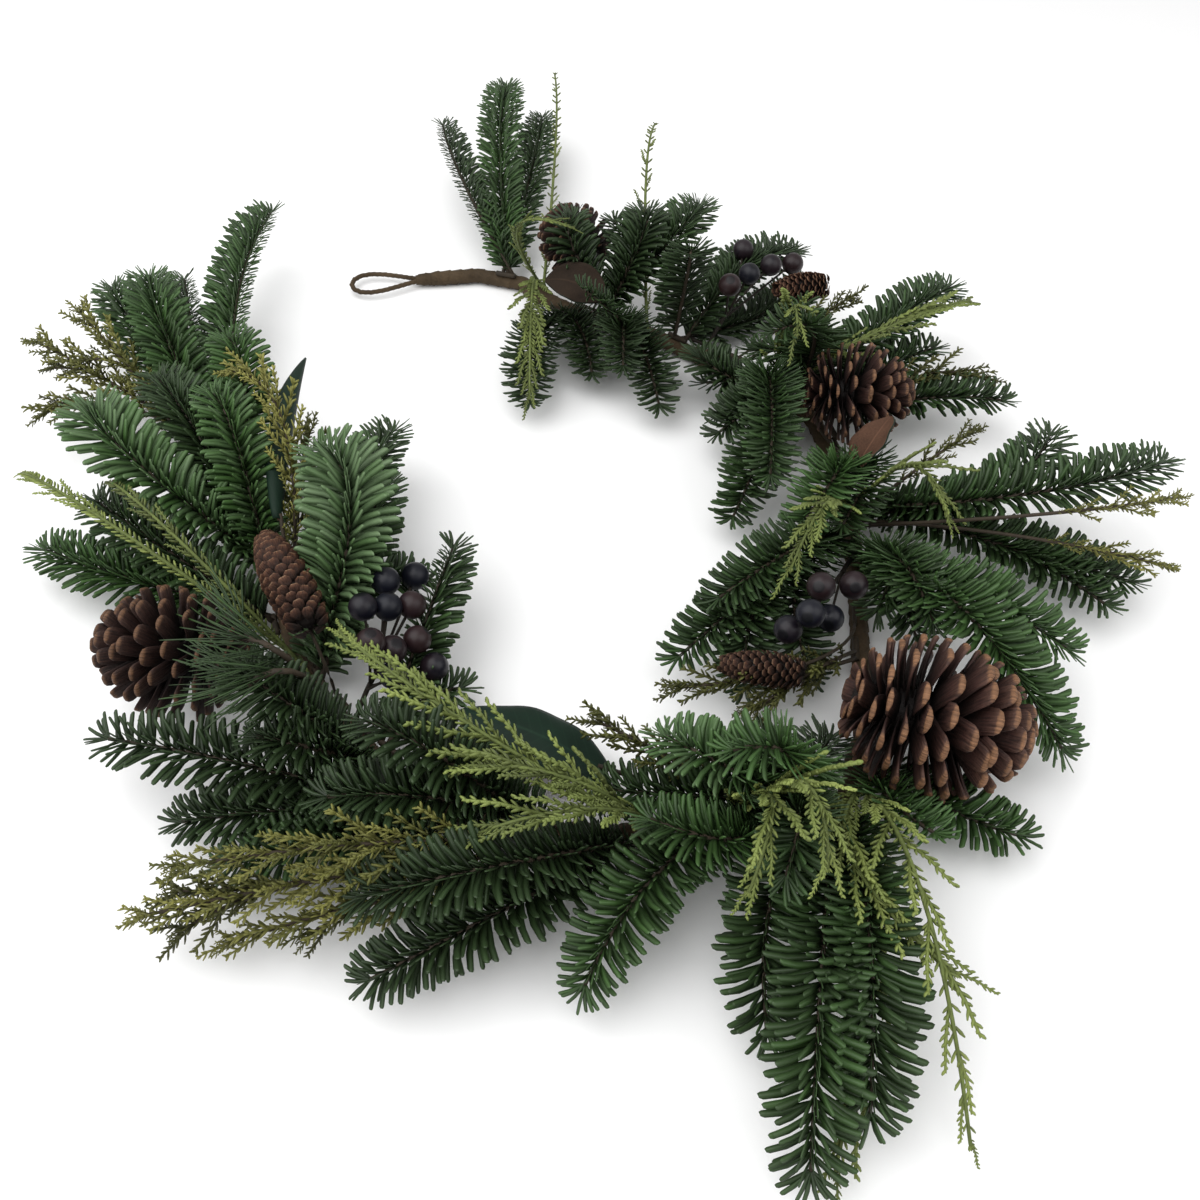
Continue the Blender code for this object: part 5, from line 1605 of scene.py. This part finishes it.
class GarlandStage(bpy.types.PropertyGroup):
    """The camera's and the lights' settings."""

    camera_place: FloatVectorProperty(name="Camera place", description="Where the camera stands",
                                      subtype="TRANSLATION", unit="LENGTH", size=3, default=CAMERA_PLACE)
    camera_pitch: FloatProperty(name="Camera pitch", description="How far the camera looks down",
                                unit="ROTATION", default=math.radians(47.6))
    camera_lens: FloatProperty(name="Lens", description="Focal length for a 36 mm sensor",
                               unit="CAMERA", default=35.31)
    key_power: FloatProperty(name="Key light", description="Power of the large light from the front left",
                             unit="POWER", default=36.0)
    fill_power: FloatProperty(name="Fill light", description="Power of the light from the right",
                              unit="POWER", default=7.0)
    sky: FloatProperty(name="Room light", description="Brightness of the pale room", default=0.58, min=0.0)


class PieceOperator:
    """What the operators that make pieces share."""

    bl_options = {"REGISTER", "UNDO"}

    def execute(self, context):
        self.make(lay_garland(), context.scene.garland_sizes)
        return {"FINISHED"}


class GARLAND_OT_core(PieceOperator, bpy.types.Operator):
    """Wrap the core and its two hanging loops in paper tape"""

    bl_idname = "garland.core"
    bl_label = "Wrapped core and loops"

    def make(self, laid, sizes):
        make_core(laid["main_stem"], {"core": model_rod(12, 30, 40)})
        shapes = {"wire": model_rod(8, 12, 18), "neck": model_rod(12, 20)}
        for node in ("hanging_loop_1", "hanging_loop_2"):
            make_loop(node, *laid[node], shapes)


def make_boughs(plant, maker, laid, shapes, sizes):
    """Make all boughs of that plant."""
    for node, bough in BOUGHS.items():
        if bough.plant == plant:
            maker(node, *laid[node], shapes, sizes)


class GARLAND_OT_fir(PieceOperator, bpy.types.Operator):
    """Dress the fir boughs with flat needles"""

    bl_idname = "garland.fir"
    bl_label = "Fir boughs"

    def make(self, laid, sizes):
        width = sizes.fir_width / sizes.fir_length
        shapes = {"needle": model_needle(NEEDLE, width, -0.22, 0.12),
                  "inner": model_needle(PLAIN_NEEDLE, width, -0.16, 0.12), "twig": model_rod(5, 12)}
        make_boughs("fir", make_fir, laid, shapes, sizes)


class GARLAND_OT_cedar(PieceOperator, bpy.types.Operator):
    """Dress the cedar boughs with flat lacy fronds"""

    bl_idname = "garland.cedar"
    bl_label = "Cedar boughs"

    def make(self, laid, sizes):
        shapes = {"cedar": model_branchlet(15, 0.17, 0.054, math.radians(34), True),
                  "spur": model_spur(0.30), "twig": model_rod(5, 16)}
        make_boughs("cedar", make_cedar, laid, shapes, sizes)


class GARLAND_OT_juniper(PieceOperator, bpy.types.Operator):
    """Dress the juniper boughs with prickly branchlets"""

    bl_idname = "garland.juniper"
    bl_label = "Juniper boughs"

    def make(self, laid, sizes):
        shapes = {"juniper": model_branchlet(17, 0.29, 0.062, math.radians(42), False),
                  "spur": model_spur(0.22), "twig": model_rod(5, 12)}
        make_boughs("juniper", make_juniper, laid, shapes, sizes)


class GARLAND_OT_pine(PieceOperator, bpy.types.Operator):
    """Dress the pine tuft with long thin needles"""

    bl_idname = "garland.pine"
    bl_label = "Pine tuft"

    def make(self, laid, sizes):
        needle = model_needle(PLAIN_NEEDLE, sizes.pine_width / sizes.pine_length, 0.08, -0.10)
        make_boughs("pine", make_pine, laid, {"needle": needle, "twig": model_rod(5, 12)}, sizes)


class GARLAND_OT_cones(PieceOperator, bpy.types.Operator):
    """Build the open pine cones and the slim cones, scale by scale"""

    bl_idname = "garland.cones"
    bl_label = "Cones"

    def make(self, laid, sizes):
        shapes = {"open": model_scale(OPEN_SCALE, 0.30, 0.22),
                  "slim": model_scale(SLIM_SCALE, 0.14, 0.42),
                  "heart": model_rod(12, 10), "twig": model_rod(6, 8)}
        for node, cone in CONES.items():
            make_cone(node, cone, *laid[node], shapes)


class GARLAND_OT_berries(PieceOperator, bpy.types.Operator):
    """Build the bunches of berries on their stalks"""

    bl_idname = "garland.berries"
    bl_label = "Berries"

    def make(self, laid, sizes):
        shapes = {"berry": model_berry(), "twig": model_rod(6, 8)}
        for node in BUNCHES:
            make_bunch(node, *laid[node], shapes)


class GARLAND_OT_leaves(PieceOperator, bpy.types.Operator):
    """Build the magnolia leaves"""

    bl_idname = "garland.leaves"
    bl_label = "Magnolia leaves"

    def make(self, laid, sizes):
        shapes = {"leaf": model_leaf_sheet(), "twig": model_rod(6, 10)}
        for node, leaf in LEAVES.items():
            make_leaf(node, leaf, *laid[node], shapes)


class GARLAND_OT_stage(bpy.types.Operator):
    """Set up the pale floor, the soft lights and the camera"""

    bl_idname = "garland.stage"
    bl_label = "Floor, lights and camera"
    bl_options = {"REGISTER", "UNDO"}

    def execute(self, context):
        stage = context.scene.garland_stage
        select()
        bpy.ops.mesh.primitive_grid_add(x_subdivisions=8, y_subdivisions=8, size=FLOOR_SIZE)
        floor = context.object
        floor.name = "floor"
        floor.data.materials.append(finish("floor"))
        tilt = math.pi / 2 - stage.camera_pitch
        bpy.ops.object.camera_add(location=stage.camera_place, rotation=(tilt, 0, 0))
        camera = context.object
        camera.data.lens = stage.camera_lens
        camera.data.sensor_width = SENSOR_WIDTH
        context.scene.camera = camera
        lights = ((KEY_PLACE, KEY_SIZE, stage.key_power), (FILL_PLACE, FILL_SIZE, stage.fill_power))
        for place, size, power in lights:
            bpy.ops.object.light_add(type="AREA", location=place)
            light = context.object
            light.data.size = size
            light.data.energy = power
            light.rotation_euler = Vector(place).to_track_quat("Z", "Y").to_euler()
        world = context.scene.world or bpy.data.worlds.new("room")
        context.scene.world = world
        world.use_nodes = True
        background = world.node_tree.nodes["Background"]
        background.inputs["Color"].default_value = (1.0, 1.0, 1.0, 1.0)
        background.inputs["Strength"].default_value = stage.sky
        context.scene.view_settings.view_transform = "Standard"
        return {"FINISHED"}


PIECES = (GARLAND_OT_core, GARLAND_OT_fir, GARLAND_OT_cedar, GARLAND_OT_juniper, GARLAND_OT_pine,
          GARLAND_OT_cones, GARLAND_OT_berries, GARLAND_OT_leaves, GARLAND_OT_stage)


class GARLAND_PT_panel(bpy.types.Panel):
    """The garland's pieces, sizes and colours"""

    bl_label = "Garland"
    bl_idname = "GARLAND_PT_panel"
    bl_space_type = "VIEW_3D"
    bl_region_type = "UI"
    bl_category = "Garland"

    def draw(self, context):
        scene = context.scene
        for settings in (scene.garland_sizes, scene.garland_colours, scene.garland_stage):
            box = self.layout.box()
            for name in settings.__annotations__:
                box.prop(settings, name)
        for piece in PIECES:
            self.layout.operator(piece.bl_idname)


CLASSES = (GarlandSizes, GarlandColours, GarlandStage, *PIECES, GARLAND_PT_panel)


def register():
    for cls in CLASSES:
        bpy.utils.register_class(cls)
    bpy.types.Scene.garland_sizes = PointerProperty(type=GarlandSizes)
    bpy.types.Scene.garland_colours = PointerProperty(type=GarlandColours)
    bpy.types.Scene.garland_stage = PointerProperty(type=GarlandStage)


def unregister():
    del bpy.types.Scene.garland_stage
    del bpy.types.Scene.garland_colours
    del bpy.types.Scene.garland_sizes
    for cls in reversed(CLASSES):
        bpy.utils.unregister_class(cls)


def main():
    register()
    bpy.ops.garland.core()
    bpy.ops.garland.fir()
    bpy.ops.garland.cedar()
    bpy.ops.garland.juniper()
    bpy.ops.garland.pine()
    bpy.ops.garland.cones()
    bpy.ops.garland.berries()
    bpy.ops.garland.leaves()
    bpy.ops.garland.stage()


if __name__ == "__main__":
    main()
